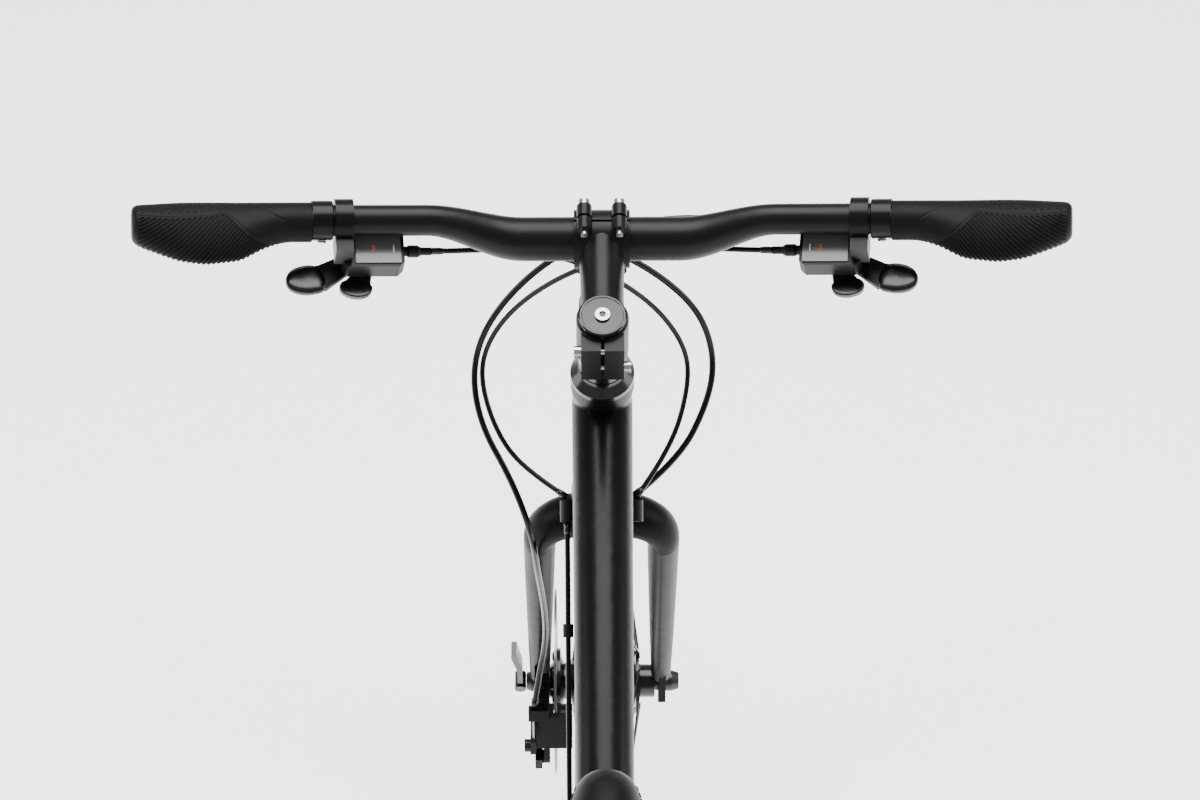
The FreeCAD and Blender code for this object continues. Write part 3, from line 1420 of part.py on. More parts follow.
def rotor(name, place, plane):
    """Disc rotor: a drilled brake track carried by swept arms on a six-bolt centre."""
    thick = float(d.rotor_thickness)
    outer = float(d.rotor_diameter / 2)
    track = outer - float(d.rotor_track)
    centre = float(d.rotor_centre / 2)
    base = Vector(0, 0, -thick / 2)
    disc = Part.makeCylinder(outer, thick, base).cut(Part.makeCylinder(track, thick, base))
    middle = Part.makeCylinder(centre, thick, base)
    arms = []
    holes = [Part.makeCylinder(float(d.rotor_spigot / 2), thick, base)]
    sweep = math.radians(rotor_sweep_degrees)
    half = float(d.rotor_arm_width / 2)
    reach = outer - float(d.rotor_track) / 2
    for number in range(rotor_arm_count):
        angle = 2 * math.pi * number / rotor_arm_count
        root = Vector(math.cos(angle), math.sin(angle), 0) * (centre - half)
        tip = Vector(math.cos(angle + sweep), math.sin(angle + sweep), 0) * reach
        aside = (tip - root).cross(Z_AXIS).normalize() * half
        outline = [root + aside, tip + aside, tip - aside, root - aside]
        wire = Part.makePolygon([p + base for p in outline + outline[:1]])
        arms.append(Part.Face(wire).extrude(Z_AXIS * thick))
        bolt = Vector(math.cos(angle), math.sin(angle), 0) * float(d.rotor_bolt_circle / 2)
        holes.append(Part.makeCylinder(float(d.clamp_bolt / 2), thick, base + bolt))
        for slot in range(rotor_slots_per_arm):
            turn = angle + 2 * math.pi * (slot + 0.5) / (rotor_arm_count * rotor_slots_per_arm)
            share = rotor_slot_shares[slot % len(rotor_slot_shares)]
            spot = Vector(math.cos(turn), math.sin(turn), 0) * (track + float(d.rotor_track) * share)
            holes.append(Part.makeCylinder(float(d.rotor_hole / 2), thick, base + spot))
    shape = disc.fuse([middle] + arms).cut(holes).removeSplitter()
    item = shaped(f"{name}_rotor", shape)
    item.Placement = shift(place, 0, 0, plane)
    node(item)


def axle(name, place, width):
    """Hollow axle with locknuts, and the skewer through it with its nut and cam housing."""
    half = width / 2
    outer = half + d.dropout_thickness
    rod = d.skewer_diameter / 2
    tube = ring(f"{name}_axle_tube", d.axle_diameter / 2, rod, outer * 2, shift(place, 0, 0, -outer))
    nuts = [ring(f"{name}_locknut_{number}", d.locknut_diameter / 2, d.axle_diameter / 2,
                 d.locknut_thickness,
                 shift(place, 0, 0, start))
            for number, start in enumerate((-half, half - d.locknut_thickness))]
    nut_start = outer + d.skewer_nut_length
    skewer = cylinder(f"{name}_skewer", rod, nut_start + outer, shift(place, 0, 0, -nut_start))
    wide = d.skewer_nut_diameter / 2
    narrow = wide * skewer_taper_share
    nut = revolved(f"{name}_skewer_nut", [
        (rod, 0), (narrow, 0), (wide, d.skewer_nut_length / 2), (wide, d.skewer_nut_length),
        (rod, d.skewer_nut_length)],
        shift(place, 0, 0, -nut_start))
    cam = d.skewer_cam_length
    housing = revolved(f"{name}_cam_housing", [
        (0, 0), (wide, 0), (wide, cam / 2), (narrow, cam), (0, cam)], shift(place, 0, 0, outer))
    node(group(f"{name}_axle", [tube] + nuts + [skewer, nut, housing]))


def skewer_lever(name, place, up):
    """Quick-release lever, turning on a cam pin across the skewer; closed it lies along the leg."""
    base = d.front_hub_width / 2 if name == "front" else d.rear_hub_width / 2
    level = base + d.dropout_thickness + d.skewer_cam_length + d.lever_barrel / 2 + d.face_gap
    centre = point(place, 0, 0, level)
    across = Vector(up).cross(Y_AXIS).normalize()
    barrel_half = d.lever_barrel_length / 2
    barrel = cylinder(f"{name}_lever_barrel", d.lever_barrel / 2, barrel_half * 2,
                      at(centre - across * float(barrel_half), across, Y_AXIS))
    blade = at(centre, across, up)
    thin = d.skewer_blade / 2
    reach = d.skewer_lever_length
    bend = reach * skewer_bend_share
    hook, hook_tip = [thin * share for share in skewer_hook_shares]
    outline = [(0, -thin), (bend, -thin), (reach, thin), (reach, hook),
               (reach * skewer_tip_share, hook_tip),
               (bend, thin), (0, thin)]
    turn = 1 if blade.Rotation.multVec(Y_AXIS).y > 0 else -1
    plate = padded(f"{name}_lever_plate", [(x, y * turn) for x, y in outline],
                   barrel_half * skewer_plate_share * 2,
                   shift(blade, 0, 0, -barrel_half * skewer_plate_share))
    node(fused(f"{name}_skewer_lever", [barrel, plate]))
    return centre, across * turn


def toothed(teeth, phase, inner, thickness, tip):
    """A chain wheel about Z: four corners to a tooth, gaps centred on the phase angle."""
    pitch = float(d.chain_pitch)
    radius = pitch * teeth / (2 * math.pi)
    roller = float(d.roller_diameter / 2)
    floor = radius - roller - float(d.roller_room)
    valley = roller * tooth_valley_share
    flank = pitch / 2 - float(tip)
    peak = radius + roller * tooth_height_share
    corners = []
    for number in range(teeth):
        angle = phase + 2 * math.pi * number / teeth
        for reach, offset in ((peak, -flank), (floor, -valley), (floor, valley), (peak, flank)):
            turn = angle + offset / radius
            corners.append(Vector(reach * math.cos(turn), reach * math.sin(turn), -float(thickness) / 2))
    wire = Part.makePolygon(corners + corners[:1])
    plate = Part.Face(wire).extrude(Z_AXIS * float(thickness))
    low = Vector(0, 0, -float(thickness) / 2)
    return plate.cut(Part.makeCylinder(float(inner), float(thickness), low))


def belt(circles):
    """Closed tangent route round circles, each (centre, radius, turn): straight runs and arcs."""
    count = len(circles)
    normals = []
    for number, (centre, radius, turn) in enumerate(circles):
        nxt, nxt_radius, nxt_turn = circles[(number + 1) % count]
        gap = nxt - centre
        angle = math.atan2(gap.z, gap.x)
        normals.append(angle - math.acos((turn * radius - nxt_turn * nxt_radius) / gap.Length))
    pieces = []
    for number, (centre, radius, turn) in enumerate(circles):
        shift_angle = 0 if turn > 0 else math.pi
        arrive = normals[number - 1] + shift_angle
        leave = normals[number] + shift_angle
        sweep = (leave - arrive) * turn % (2 * math.pi)
        pieces.append(("arc", centre, radius, arrive, turn, radius * sweep))
        start = centre + Vector(math.cos(leave), 0, math.sin(leave)) * radius
        nxt, nxt_radius, nxt_turn = circles[(number + 1) % count]
        reach = normals[number] + (0 if nxt_turn > 0 else math.pi)
        end = nxt + Vector(math.cos(reach), 0, math.sin(reach)) * nxt_radius
        pieces.append(("run", start, end, (end - start).Length))
    return pieces


def belt_spots(pieces, count):
    """Evenly spaced points along the route, with the piece that each lies on."""
    length = sum(piece[-1] for piece in pieces)
    spots = []
    for number in range(count):
        place = length * number / count
        for index, piece in enumerate(pieces):
            if place <= piece[-1]:
                break
            place -= piece[-1]
        if piece[0] == "run":
            spot = piece[1] + (piece[2] - piece[1]) * (place / piece[-1])
        else:
            angle = piece[3] + piece[4] * place / piece[2]
            spot = piece[1] + Vector(math.cos(angle), 0, math.sin(angle)) * piece[2]
        spots.append((spot, index))
    return spots


def pitch_radius(teeth):
    """Radius at which the chain's rollers run on a wheel."""
    return float(d.chain_pitch) * teeth / (2 * math.pi)


def chain_circles(cage_angle):
    """The four wheels that the chain runs round, in running order."""
    reach = Vector(math.sin(cage_angle), 0, -math.cos(cage_angle)) * float(d.pulley_spacing)
    return [(bb_centre, pitch_radius(ring_teeth[0]), 1), (rear_axle, pitch_radius(cog_teeth[chain_cog]), 1),
            (guide_centre, pitch_radius(pulley_teeth), -1),
            (guide_centre + reach, pitch_radius(pulley_teeth), 1)]


def solve_cage():
    """Cage angle that takes up the chain: its length is a whole, even number of links."""
    def links(angle):
        return sum(piece[-1] for piece in belt(chain_circles(angle))) / float(d.chain_pitch)

    low, high = (math.radians(angle) for angle in cage_angle_limits)
    count = 2 * math.floor(max(links(low), links(high)) / 2)
    if links(low) < links(high):
        low, high = high, low
    for _ in range(60):
        middle = (low + high) / 2
        if links(middle) > count:
            low = middle
        else:
            high = middle
    return low, count


def stadium(length, radius, start, thickness):
    """A link plate: two round ends joined by straight sides."""
    half = length / 2
    a = Vector(-half, -radius, start)
    b = Vector(half, -radius, start)
    c = Vector(half, radius, start)
    e = Vector(-half, radius, start)
    right = Vector(half + radius, 0, start)
    left = Vector(-half - radius, 0, start)
    wire = Part.Wire([Part.LineSegment(a, b).toShape(), Part.Arc(b, right, c).toShape(),
                      Part.LineSegment(c, e).toShape(), Part.Arc(e, left, a).toShape()])
    return Part.Face(wire).extrude(Z_AXIS * thickness)


def chain(spots):
    """Roller chain: rollers, inner plates and outer plates with their rivet heads."""
    pitch = float(d.chain_pitch)
    roller_half = float(d.roller_width / 2)
    thick = float(d.plate_thickness)
    gap = float(d.plate_gap)
    tall = float(d.plate_height / 2)
    inner_start = roller_half
    outer_start = roller_half + thick + gap
    roller = Part.makeCylinder(float(d.roller_diameter / 2), roller_half * 2, Vector(0, 0, -roller_half))
    inner = [stadium(pitch, tall, start, thick) for start in (inner_start, -inner_start - thick)]
    rivet = float(d.rivet_diameter / 2)
    rivet_height = float(d.rivet_height)
    outer = []
    for start in (outer_start, -outer_start - thick):
        plate = stadium(pitch, tall * outer_plate_share, start, thick)
        head = start + thick if start > 0 else start - rivet_height
        for end in (-pitch / 2, pitch / 2):
            plate = plate.fuse(Part.makeCylinder(rivet, rivet_height, Vector(end, 0, head)))
        outer.append(plate)
    solids = []
    count = len(spots)
    for number, (spot, _) in enumerate(spots):
        nxt = spots[(number + 1) % count][0]
        middle = (spot + nxt) * 0.5
        place = at(middle, -Y_AXIS, nxt - spot)
        solids.append(roller.copy())
        solids[-1].Placement = at(spot, -Y_AXIS, X_AXIS)
        for plate in inner if number % 2 == 0 else outer:
            copy = plate.copy()
            copy.Placement = place
            solids.append(copy)
    item = shaped("chain", Part.makeCompound(solids))
    item.Placement = Placement(Y_AXIS * chain_plane, Rotation())
    node(item)


def wheel_phase(spots, index, centre):
    """Angle of the first roller that lies on one wheel's arc."""
    for spot, piece in spots:
        if piece == index:
            return math.atan2(spot.z - centre.z, spot.x - centre.x)
    return 0


def chain_wheel(label, teeth, centre, across, phase, inner, thickness):
    """A toothed wheel standing across the bike, seen from the drive side."""
    item = shaped(label, toothed(teeth, phase, inner, thickness, d.tooth_tip))
    item.Placement = at(centre + Y_AXIS * float(across), -Y_AXIS, X_AXIS)
    return item


def cassette(spots):
    """Nine cogs with spacers between them on the freehub body."""
    items = []
    pitch = float(d.cog_pitch)
    body_radius = d.freehub_diameter / 2
    phase = wheel_phase(spots, 2, rear_axle)
    for number, teeth in enumerate(cog_teeth):
        across = chain_plane + (number - chain_cog) * pitch
        items.append(chain_wheel(f"cog_{teeth}", teeth, rear_axle, across, phase, body_radius,
                                 d.cog_thickness))
    start = chain_plane - chain_cog * pitch
    place = at(rear_axle, Y_AXIS, X_AXIS)
    spacer = float(d.spacer_ring / 2)
    for number in range(len(cog_teeth) - 1):
        low = start + number * pitch + float(d.cog_thickness / 2)
        items.append(ring(f"cog_spacer_{number}", spacer, body_radius, pitch - d.cog_thickness,
                          shift(place, 0, 0, low)))
    first = start - d.cog_thickness / 2 - d.lockring_height
    last = start + pitch * len(cog_teeth)
    items.append(ring("lockring", d.lockring_diameter / 2, body_radius, d.lockring_height,
                      shift(place, 0, 0, first)))
    items.append(ring("freehub_body", body_radius, d.axle_diameter / 2 + d.running_gap, last - first,
                      shift(place, 0, 0, first)))
    node(group("cassette", items))


def crankset(spots):
    """Crank arms, spider and spindle, and the two chainrings with their bolts."""
    across = at(bb_centre, Y_AXIS, X_AXIS)
    inner = d.crank_inset
    thick = d.crank_thickness
    length = float(d.crank_length)
    rings_inner = chain_plane + float(d.ring_spacing)
    spider_far = chain_plane + d.ring_thickness / 2 + d.running_gap
    spider_near = rings_inner - d.ring_thickness / 2 - d.running_gap
    stub_length = d.pedal_width + d.pedal_gap - d.pedal_wall - d.face_gap * 2
    arms = {}
    for name, side in SIDES.items():
        middle = bb_centre + Y_AXIS * (side * float(inner + thick / 2))
        reach = Vector(-side * length, 0, 0)
        loft = lofted(f"crank_{name}_arm", [
            (at(middle, reach, Z_AXIS), d.crank_root_height / 2 * crank_waist_share,
             thick / 2 * crank_waist_share),
            (at(middle + reach, reach, Z_AXIS), d.crank_tip_height / 2 * crank_waist_share,
             thick / 2 * crank_waist_share)])
        start = side * float(inner) if side > 0 else -float(inner + thick)
        eye = cylinder(f"crank_{name}_eye", d.crank_tip_height / 2, thick,
                       at(bb_centre + reach + Y_AXIS * start,
                                                                               Y_AXIS, X_AXIS))
        boss = cylinder(f"crank_{name}_boss", d.crank_root_height / 2, thick, at(bb_centre + Y_AXIS * start,
                                                                                  Y_AXIS, X_AXIS))
        outer = side * float(inner + thick)
        stub = cylinder(f"pedal_{name}_axle", d.pedal_axle / 2, stub_length,
                        at(bb_centre + reach + Y_AXIS * outer, Y_AXIS * side, X_AXIS))
        arms[name] = [loft, eye, boss, stub]
    spindle = cylinder("spindle", d.spindle_diameter / 2, (inner + thick) * 2,
                       shift(across, 0, 0, -inner - thick))
    tower = cylinder("crank_right_tower", d.crank_root_height / 2, inner + spider_near,
                     shift(across, 0, 0, -inner))
    blades = []
    for number in range(spider_arms):
        angle = 2 * math.pi * (number + 0.5) / spider_arms
        out = Vector(math.cos(angle), 0, math.sin(angle))
        wide = d.spider_width / 2
        tip = d.spider_circle / 2 + wide / 2
        start = at(bb_centre + Y_AXIS * float(spider_near), -Y_AXIS, out)
        blades.append(padded(f"spider_{number}", [(0, -wide), (tip, -wide * spider_tip_share),
                                                  (tip, wide * spider_tip_share), (0, wide)],
                             spider_near - spider_far, start))
    right = fused("crank_right", arms["right"] + [spindle, tower] + blades)
    left_solid = fused("crank_left_solid", arms["left"])
    spindle_hole = cylinder("crank_left_bore", d.spindle_diameter / 2, (inner + thick) * 2,
                            shift(across, 0, 0, -inner - thick))
    left = cut("crank_left", left_solid, [spindle_hole])
    node(group("crank_arms", [right, left]))
    phase = wheel_phase(spots, 0, bb_centre)
    big = chain_wheel("ring_outer", ring_teeth[0], bb_centre, chain_plane, phase,
                      d.spider_circle / 2 - d.spider_width / 2, d.ring_thickness)
    small = chain_wheel("ring_inner", ring_teeth[1], bb_centre, rings_inner, phase,
                        d.inner_ring_hole / 2, d.ring_thickness)
    bolts = []
    for number in range(spider_arms):
        angle = 2 * math.pi * (number + 0.5) / spider_arms
        spot = bb_centre + Vector(math.cos(angle), 0, math.sin(angle)) * float(d.spider_circle / 2)
        face = chain_plane - float(d.ring_thickness / 2)
        bolts.append(cylinder(f"ring_bolt_{number}", d.ring_bolt / 2, d.ring_bolt_height,
                              at(spot + Y_AXIS * face, -Y_AXIS, X_AXIS)))
    node(group("chainrings", [big, small] + bolts))


def pedals():
    """Two cage pedals, each turning on the spindle that its crank arm carries."""
    for name, side in SIDES.items():
        centre = bb_centre + Vector(-side * float(d.crank_length), 0, 0)
        base = float(d.crank_inset + d.crank_thickness + d.pedal_gap)
        start = at(centre + Y_AXIS * (side * base), Y_AXIS * side, X_AXIS)
        width = d.pedal_width
        half = d.pedal_depth / 2
        tall = d.pedal_height / 2
        wall = d.pedal_wall
        barrel = cylinder(f"pedal_{name}_barrel", tall, width, start)
        plates = [block(f"pedal_{name}_side_{number}", half * 2, tall * 2, wall,
                        shift(start, -half, -tall, level))
                  for number, level in enumerate((0, width - wall))]
        bars = [block(f"pedal_{name}_bar_{number}", wall, tall * 2, width, shift(start, x, -tall, 0))
                for number, x in enumerate((-half, half - wall))]
        middle = block(f"pedal_{name}_rib", half * 2, wall, width, shift(start, -half, -wall / 2, 0))
        slots = [block(f"pedal_{name}_slot_{number}", half - tall - wall * 2, wall * pedal_slot_share * 2,
                       width - wall * 4,
                       shift(start, x, -wall * pedal_slot_share, wall * 2))
                 for number, x in enumerate((-half + wall, tall + wall))]
        rib = cut(f"pedal_{name}_plate", middle, slots)
        bore = cylinder(f"pedal_{name}_bore", d.pedal_axle / 2 + d.running_gap, width - wall + d.overrun,
                        shift(start, 0, 0, -d.overrun))
        node(cut(f"pedal_{name}", fused(f"pedal_{name}_solid", [barrel, rib] + plates + bars), [bore]))


def rear_derailleur(spots, cage_angle):
    """Mount, parallelogram link, knuckle, cage and two pulleys of the rear derailleur."""
    outer = -d.rear_hub_width / 2 - d.dropout_thickness
    hanger = rear_axle + Vector(-float(d.hanger_back), float(outer), -float(d.hanger_drop))
    knuckle = cylinder("mount_knuckle", d.knuckle_diameter / 2, d.knuckle_length,
                       at(hanger, -Y_AXIS, X_AXIS))
    bolt = cylinder("mount_bolt", d.hanger_bolt / 2, d.dropout_thickness, at(hanger, Y_AXIS, X_AXIS))
    reach = d.link_boss_half
    bar_start = hanger - Y_AXIS * float(d.knuckle_length / 2)
    run = link_start - bar_start
    bar = cylinder("mount_bar", d.link_bar / 2, run.Length, at(bar_start, run, X_AXIS))
    room_height = d.link_thickness + d.face_gap * 2
    room = cylinder("mount_link_room", d.link_boss, room_height, shift(LINK, 0, 0, reach))
    arm = cut("mount_arm_bar", bar, [room])
    boss = cylinder("mount_boss", d.link_boss / 2, reach * 2, shift(LINK, 0, 0, -reach))
    pin = cylinder("mount_link_pin", d.pivot_pin / 2, d.link_thickness + d.face_gap * 2,
                   shift(LINK, 0, 0, reach))
    node(fused("rear_derailleur_mount", [knuckle, bolt, arm, boss, pin]))
    length = link_run.Length
    plate = shaped("link_plate", stadium(length, float(d.link_boss / 2), 0, float(d.link_thickness)))
    plate.Placement = shift(LINK, length / 2, 0, reach + d.face_gap)
    bores = [cylinder(f"link_bore_{number}", d.pivot_pin / 2 + d.running_gap, d.link_thickness + d.overrun,
                      shift(LINK, x, 0, reach + d.face_gap - d.overrun / 2)) for number,
                      x in enumerate((0, length))]
    node(cut("derailleur_link", plate, bores))
    plate_out = d.cage_gap / 2 + d.cage_thickness
    knuckle_start = guide_centre + Y_AXIS * (chain_plane - float(plate_out + d.face_gap))
    barrel = cylinder("knuckle_barrel", d.knuckle_diameter / 2, d.knuckle_barrel,
                      at(knuckle_start, -Y_AXIS, X_AXIS))
    end_boss = cylinder("knuckle_boss", d.link_boss / 2, reach * 2, shift(LINK, length, 0, -reach))
    end_pin = cylinder("knuckle_pin", d.pivot_pin / 2, d.link_thickness + d.face_gap * 2,
                       shift(LINK, length, 0, reach))
    inside = knuckle_start - Y_AXIS * float(d.knuckle_barrel / 2)
    web_run = point(LINK, length, 0, 0) - inside
    web = cylinder("knuckle_web", d.link_bar / 2, web_run.Length, at(inside, web_run, X_AXIS))
    stub_bore = cylinder("knuckle_bore", d.cage_stub / 2 + d.running_gap, d.cage_stub_length + d.face_gap,
                         at(knuckle_start, -Y_AXIS, X_AXIS))
    node(cut("derailleur_knuckle", fused("knuckle_solid", [barrel, end_boss, end_pin, web]), [stub_bore]))
    along = Vector(math.sin(cage_angle), 0, -math.cos(cage_angle))
    spacing = float(d.pulley_spacing)
    middle = guide_centre + along * (spacing / 2) + Y_AXIS * chain_plane
    cage = at(middle, -Y_AXIS, along)
    plates = []
    for label, start in (("outer", d.cage_gap / 2), ("inner", -plate_out)):
        item = shaped(f"cage_{label}", stadium(spacing, float(d.cage_width / 2), float(start),
                                               float(d.cage_thickness)))
        item.Placement = cage
        plates.append(item)
    for number, x in enumerate((-spacing / 2, spacing / 2)):
        plates.append(cylinder(f"cage_pin_{number}", d.pulley_bore / 2, plate_out * 2,
                               shift(cage, x, 0, -plate_out)))
    plates.append(cylinder("cage_stub", d.cage_stub / 2, d.cage_stub_length,
                           shift(cage, -spacing / 2, 0, plate_out)))
    node(fused("derailleur_cage", plates))
    bore = d.pulley_bore / 2 + d.running_gap
    tension_centre = guide_centre + along * spacing
    for label, centre, index in (("guide_pulley", guide_centre, 4), ("tension_pulley", tension_centre, 6)):
        phase = wheel_phase(spots, index, centre)
        wheel = chain_wheel(f"{label}_teeth", pulley_teeth, centre, chain_plane, phase, bore,
                            d.cog_thickness)
        half = d.cage_gap / 2 - d.face_gap
        sleeve = ring(f"{label}_sleeve", d.pulley_hub / 2, bore, half * 2,
                      at(centre + Y_AXIS * (chain_plane - float(half)), Y_AXIS, X_AXIS))
        node(fused(label, [wheel, sleeve]))


def front_derailleur():
    """Seat-tube clamp with a pivot, and the swinging chain cage above the large ring."""
    low = shift(SEAT, 0, 0, d.fd_height - d.fd_band / 2)
    inner = d.seat_tube_diameter / 2
    outer = inner + d.seat_clamp_wall
    band = ring("fd_band", outer, inner, d.fd_band, low)
    pivot = point(SEAT, 0, 0, d.fd_height) - Y_AXIS * float(d.fd_pivot)
    lug = d.fd_lug
    half = d.fd_arm_width / 2
    reach = d.fd_pivot - inner + lug / 2
    lugs = [block(f"fd_lug_{number}", lug, reach, lug * 2,
                  Placement(pivot + Vector(float(x), -float(lug / 2), -float(lug)), Rotation()))
            for number, x in enumerate((half + d.face_gap, -half - d.face_gap - lug))]
    pin = cylinder("fd_pin", d.pivot_pin / 2, (half + d.face_gap + lug) * 2,
                   at(pivot - X_AXIS * float(half + d.face_gap + lug), X_AXIS, Z_AXIS))
    clear = cylinder("fd_tube_room", inner, d.fd_band * 3, shift(low, 0, 0, -d.fd_band))
    node(cut("front_derailleur_mount", fused("fd_mount_solid", [band, pin] + lugs), [clear]))
    ring_tip = pitch_radius(ring_teeth[0]) + float(d.roller_diameter / 2) * tooth_height_share
    lower = ring_tip + float(d.fd_clearance)
    upper = lower + float(d.fd_cage_height)
    outline = []
    for radius, angles in ((lower, fd_cage_angles), (upper, fd_cage_angles[::-1])):
        for angle in angles:
            outline.append((radius * math.cos(math.radians(angle)), radius * math.sin(math.radians(angle))))
    gap = d.fd_cage_gap / 2
    plates = [padded(f"fd_plate_{number}", outline, d.cage_thickness,
                     at(bb_centre + Y_AXIS * (chain_plane + float(offset)), -Y_AXIS, X_AXIS))
              for number, offset in enumerate((gap + d.cage_thickness, -gap))]
    top = Vector(pivot.x - float(half), chain_plane - float(gap + d.cage_thickness),
                 bb_centre.z + upper - float(d.fd_bridge))
    wide = d.fd_cage_gap + d.cage_thickness * 2
    bridge = block("fd_bridge_plate", half * 2, wide, d.fd_bridge, Placement(top, Rotation()))
    arm_start = Vector(pivot.x - float(half), chain_plane + float(gap), top.z)
    arm = block("fd_arm", half * 2, pivot.y + lug / 2 - arm_start.y, pivot.z + lug - arm_start.z,
                Placement(arm_start, Rotation()))
    bore = cylinder("fd_bore", d.pivot_pin / 2 + d.running_gap, half * 2 + d.overrun,
                    at(pivot - X_AXIS * float(half + d.overrun / 2), X_AXIS, Z_AXIS))
    node(cut("front_derailleur_cage", fused("fd_cage_solid", plates + [bridge, arm]), [bore]))
    return pivot


def pipe(points, radius):
    """A round cord along straight runs joined by the largest tangent arcs; returns it with its radii."""
    spots = [Vector(*p) for p in points]
    edges = []
    radii = []
    start = spots[0]
    for before, corner, after in zip(spots, spots[1:], spots[2:]):
        back = before - corner
        ahead = after - corner
        turn = math.pi - back.getAngle(ahead)
        trim = cord_trim_share * min(back.Length, ahead.Length)
        radii.append(trim / math.tan(turn / 2))
        first = corner + back.normalize() * trim
        last = corner + ahead.normalize() * trim
        bisector = (back + ahead).normalize()
        reach = radii[-1] / math.cos(turn / 2) - radii[-1]
        edges.append(Part.LineSegment(start, first).toShape())
        edges.append(Part.Arc(first, corner + bisector * reach, last).toShape())
        start = last
    edges.append(Part.LineSegment(start, spots[-1]).toShape())
    wire = Part.Wire(edges)
    ring_wire = Part.Wire([Part.Circle(spots[0], spots[1] - spots[0], radius).toShape()])
    tube = wire.makePipeShell([ring_wire], True, False)
    return tube, radii, wire.Length


def saddle_section(share, wide, crown, drop):
    """One cross-section of the saddle: flat underside and an arched top."""
    x = -float(d.saddle_length) * share
    half = float(d.saddle_width / 2) * wide
    low = -float(d.saddle_depth) * drop
    high = low + float(d.saddle_depth) * crown
    left = Vector(x, half, low)
    right = Vector(x, -half, low)
    knee = saddle_knee_share
    left_knee = Vector(x, half, low + (high - low) * knee)
    right_knee = Vector(x, -half, low + (high - low) * knee)
    return Part.Wire([Part.LineSegment(right, left).toShape(), Part.LineSegment(left, left_knee).toShape(),
                      Part.Arc(left_knee, Vector(x, 0, high), right_knee).toShape(),
                      Part.LineSegment(right_knee, right).toShape()])


def saddle():
    """Seatpost with its clamp head, saddle rails and the padded saddle."""
    head = point(SEAT, 0, 0, d.seat_tube_length + d.seatpost_shown)
    post = cylinder("post_tube", d.seatpost_diameter / 2, d.seatpost_shown + d.seatpost_depth,
                    shift(SEAT, 0, 0, d.seat_tube_length - d.seatpost_depth))
    yoke = cylinder("post_yoke", d.yoke_diameter / 2, d.rail_spacing + d.rail_diameter * 2,
                    at(head - Y_AXIS * float(d.rail_spacing / 2 + d.rail_diameter), Y_AXIS, X_AXIS))
    rail_z = head.z + float(d.rail_rise)
    saddle_nose = Vector(head.x + float(d.saddle_ahead), 0, rail_z + float(d.saddle_above))
    solids = []
    for side in SIDES.values():
        route = [(saddle_nose.x - float(d.saddle_length) * along,
                  side * float(d.rail_spacing / 2) * out, rail_z + float(d.rail_end_rise) * up)
                 for along, out, up in rail_route_shares]
        tube, radii, _ = pipe(route, float(d.rail_diameter / 2))
        print("rail radii", [round(radius, 1) for radius in radii])
        solids.append(tube)
    rails = node(shaped("saddle_rails", Part.makeCompound(solids)))
    plate_half = d.rail_clamp / 2
    upper = block("post_clamp", plate_half * 2, d.rail_spacing + d.rail_diameter * 2,
                  d.rail_rise + d.rail_diameter,
                  Placement(Vector(head.x - float(plate_half), -float(d.rail_spacing / 2 + d.rail_diameter),
                                   head.z),
                            Rotation()))
    node(cut("seatpost", fused("post_solid", [post, yoke, upper]), [rails]))
    wires = [saddle_section(*row) for row in saddle_shares]
    body = shaped("saddle", Part.makeLoft(wires, True, False))
    body.Placement = Placement(saddle_nose, Rotation())
    node(body)


def cable_guides(tubes):
    """Entry blocks and clips on the down tube, and the rear brake's grommet on the chainstay."""
    items = []
    for label, (spot, along) in CABLE_PORTS.items():
        run = Vector(*along).normalize()
        half = float(d.port_length / 2)
        items.append(cylinder(label, d.port_diameter / 2, d.port_length,
                              at(Vector(*spot) - run * half, run, Y_AXIS)))
    start, end = [Vector(*spot) for spot in CABLE_ROUTES["rear_shift"][2][:2]]
    for number, share in enumerate(clip_place_shares):
        place = at(start + (end - start) * share, end - start, Y_AXIS)
        items.append(ring(f"clip_{number}", d.clip_diameter / 2, d.shift_housing / 2, d.clip_length, place))
    first, second = [Vector(*spot) for spot in CABLE_ROUTES["rear_brake"][2][:2]]
    run = (second - first).normalize()
    items.append(cylinder("grommet", d.grommet_diameter / 2, d.port_length,
                          at(first - run * float(d.port_length), run, Y_AXIS)))
    node(cut("cable_guides", group("cable_guide_solids", items), tubes))


def cables():
    """Housings of the brakes and gears, each one tube along its route."""
    solids = {"control_cables": [], "front_brake_cable": [], "frame_cables": []}
    for label, (name, housing, points) in CABLE_ROUTES.items():
        radius = float(housing / 2)
        tube, radii, length = pipe(points, radius)
        share = tube.Volume / (math.pi * radius * radius * length)
        print(label, "length", round(length), "radii", [round(value) for value in radii], "share",
              round(share, 3))
        solids[name].append(tube)
    for name, tubes in solids.items():
        node(shaped(name, tubes[0] if len(tubes) == 1 else Part.makeCompound(tubes)))


# Places that the control and brake pieces share
stem_bottom = spacer_bottom + d.spacer_height * 2
stem_top = stem_bottom + d.stem_clamp_height
stem_rise = math.radians(d.stem_angle)
stem_run = Vector(math.cos(stem_rise), 0, math.sin(stem_rise))
bar_centre = point(STEER, 0, 0, stem_bottom + d.stem_clamp_height / 2) + stem_run * float(d.stem_length)
STEM = at(bar_centre, stem_run, Y_AXIS)
bar_tip = bar_point(float(d.bar_width / 2))
bar_inward = bar_point(bar_inner) - bar_tip
BAR_END = at(bar_tip, bar_inward, X_AXIS)
CTRL = shift(BAR_END, 0, 0, -d.grip_end)
lever_tilt = math.radians(d.lever_angle)
LEVER = at(CTRL.Base, CTRL.Rotation.multVec(Vector(math.sin(lever_tilt), math.cos(lever_tilt), 0)),
           CTRL.Rotation.multVec(Z_AXIS))
pod_tilt = math.radians(d.pod_angle)
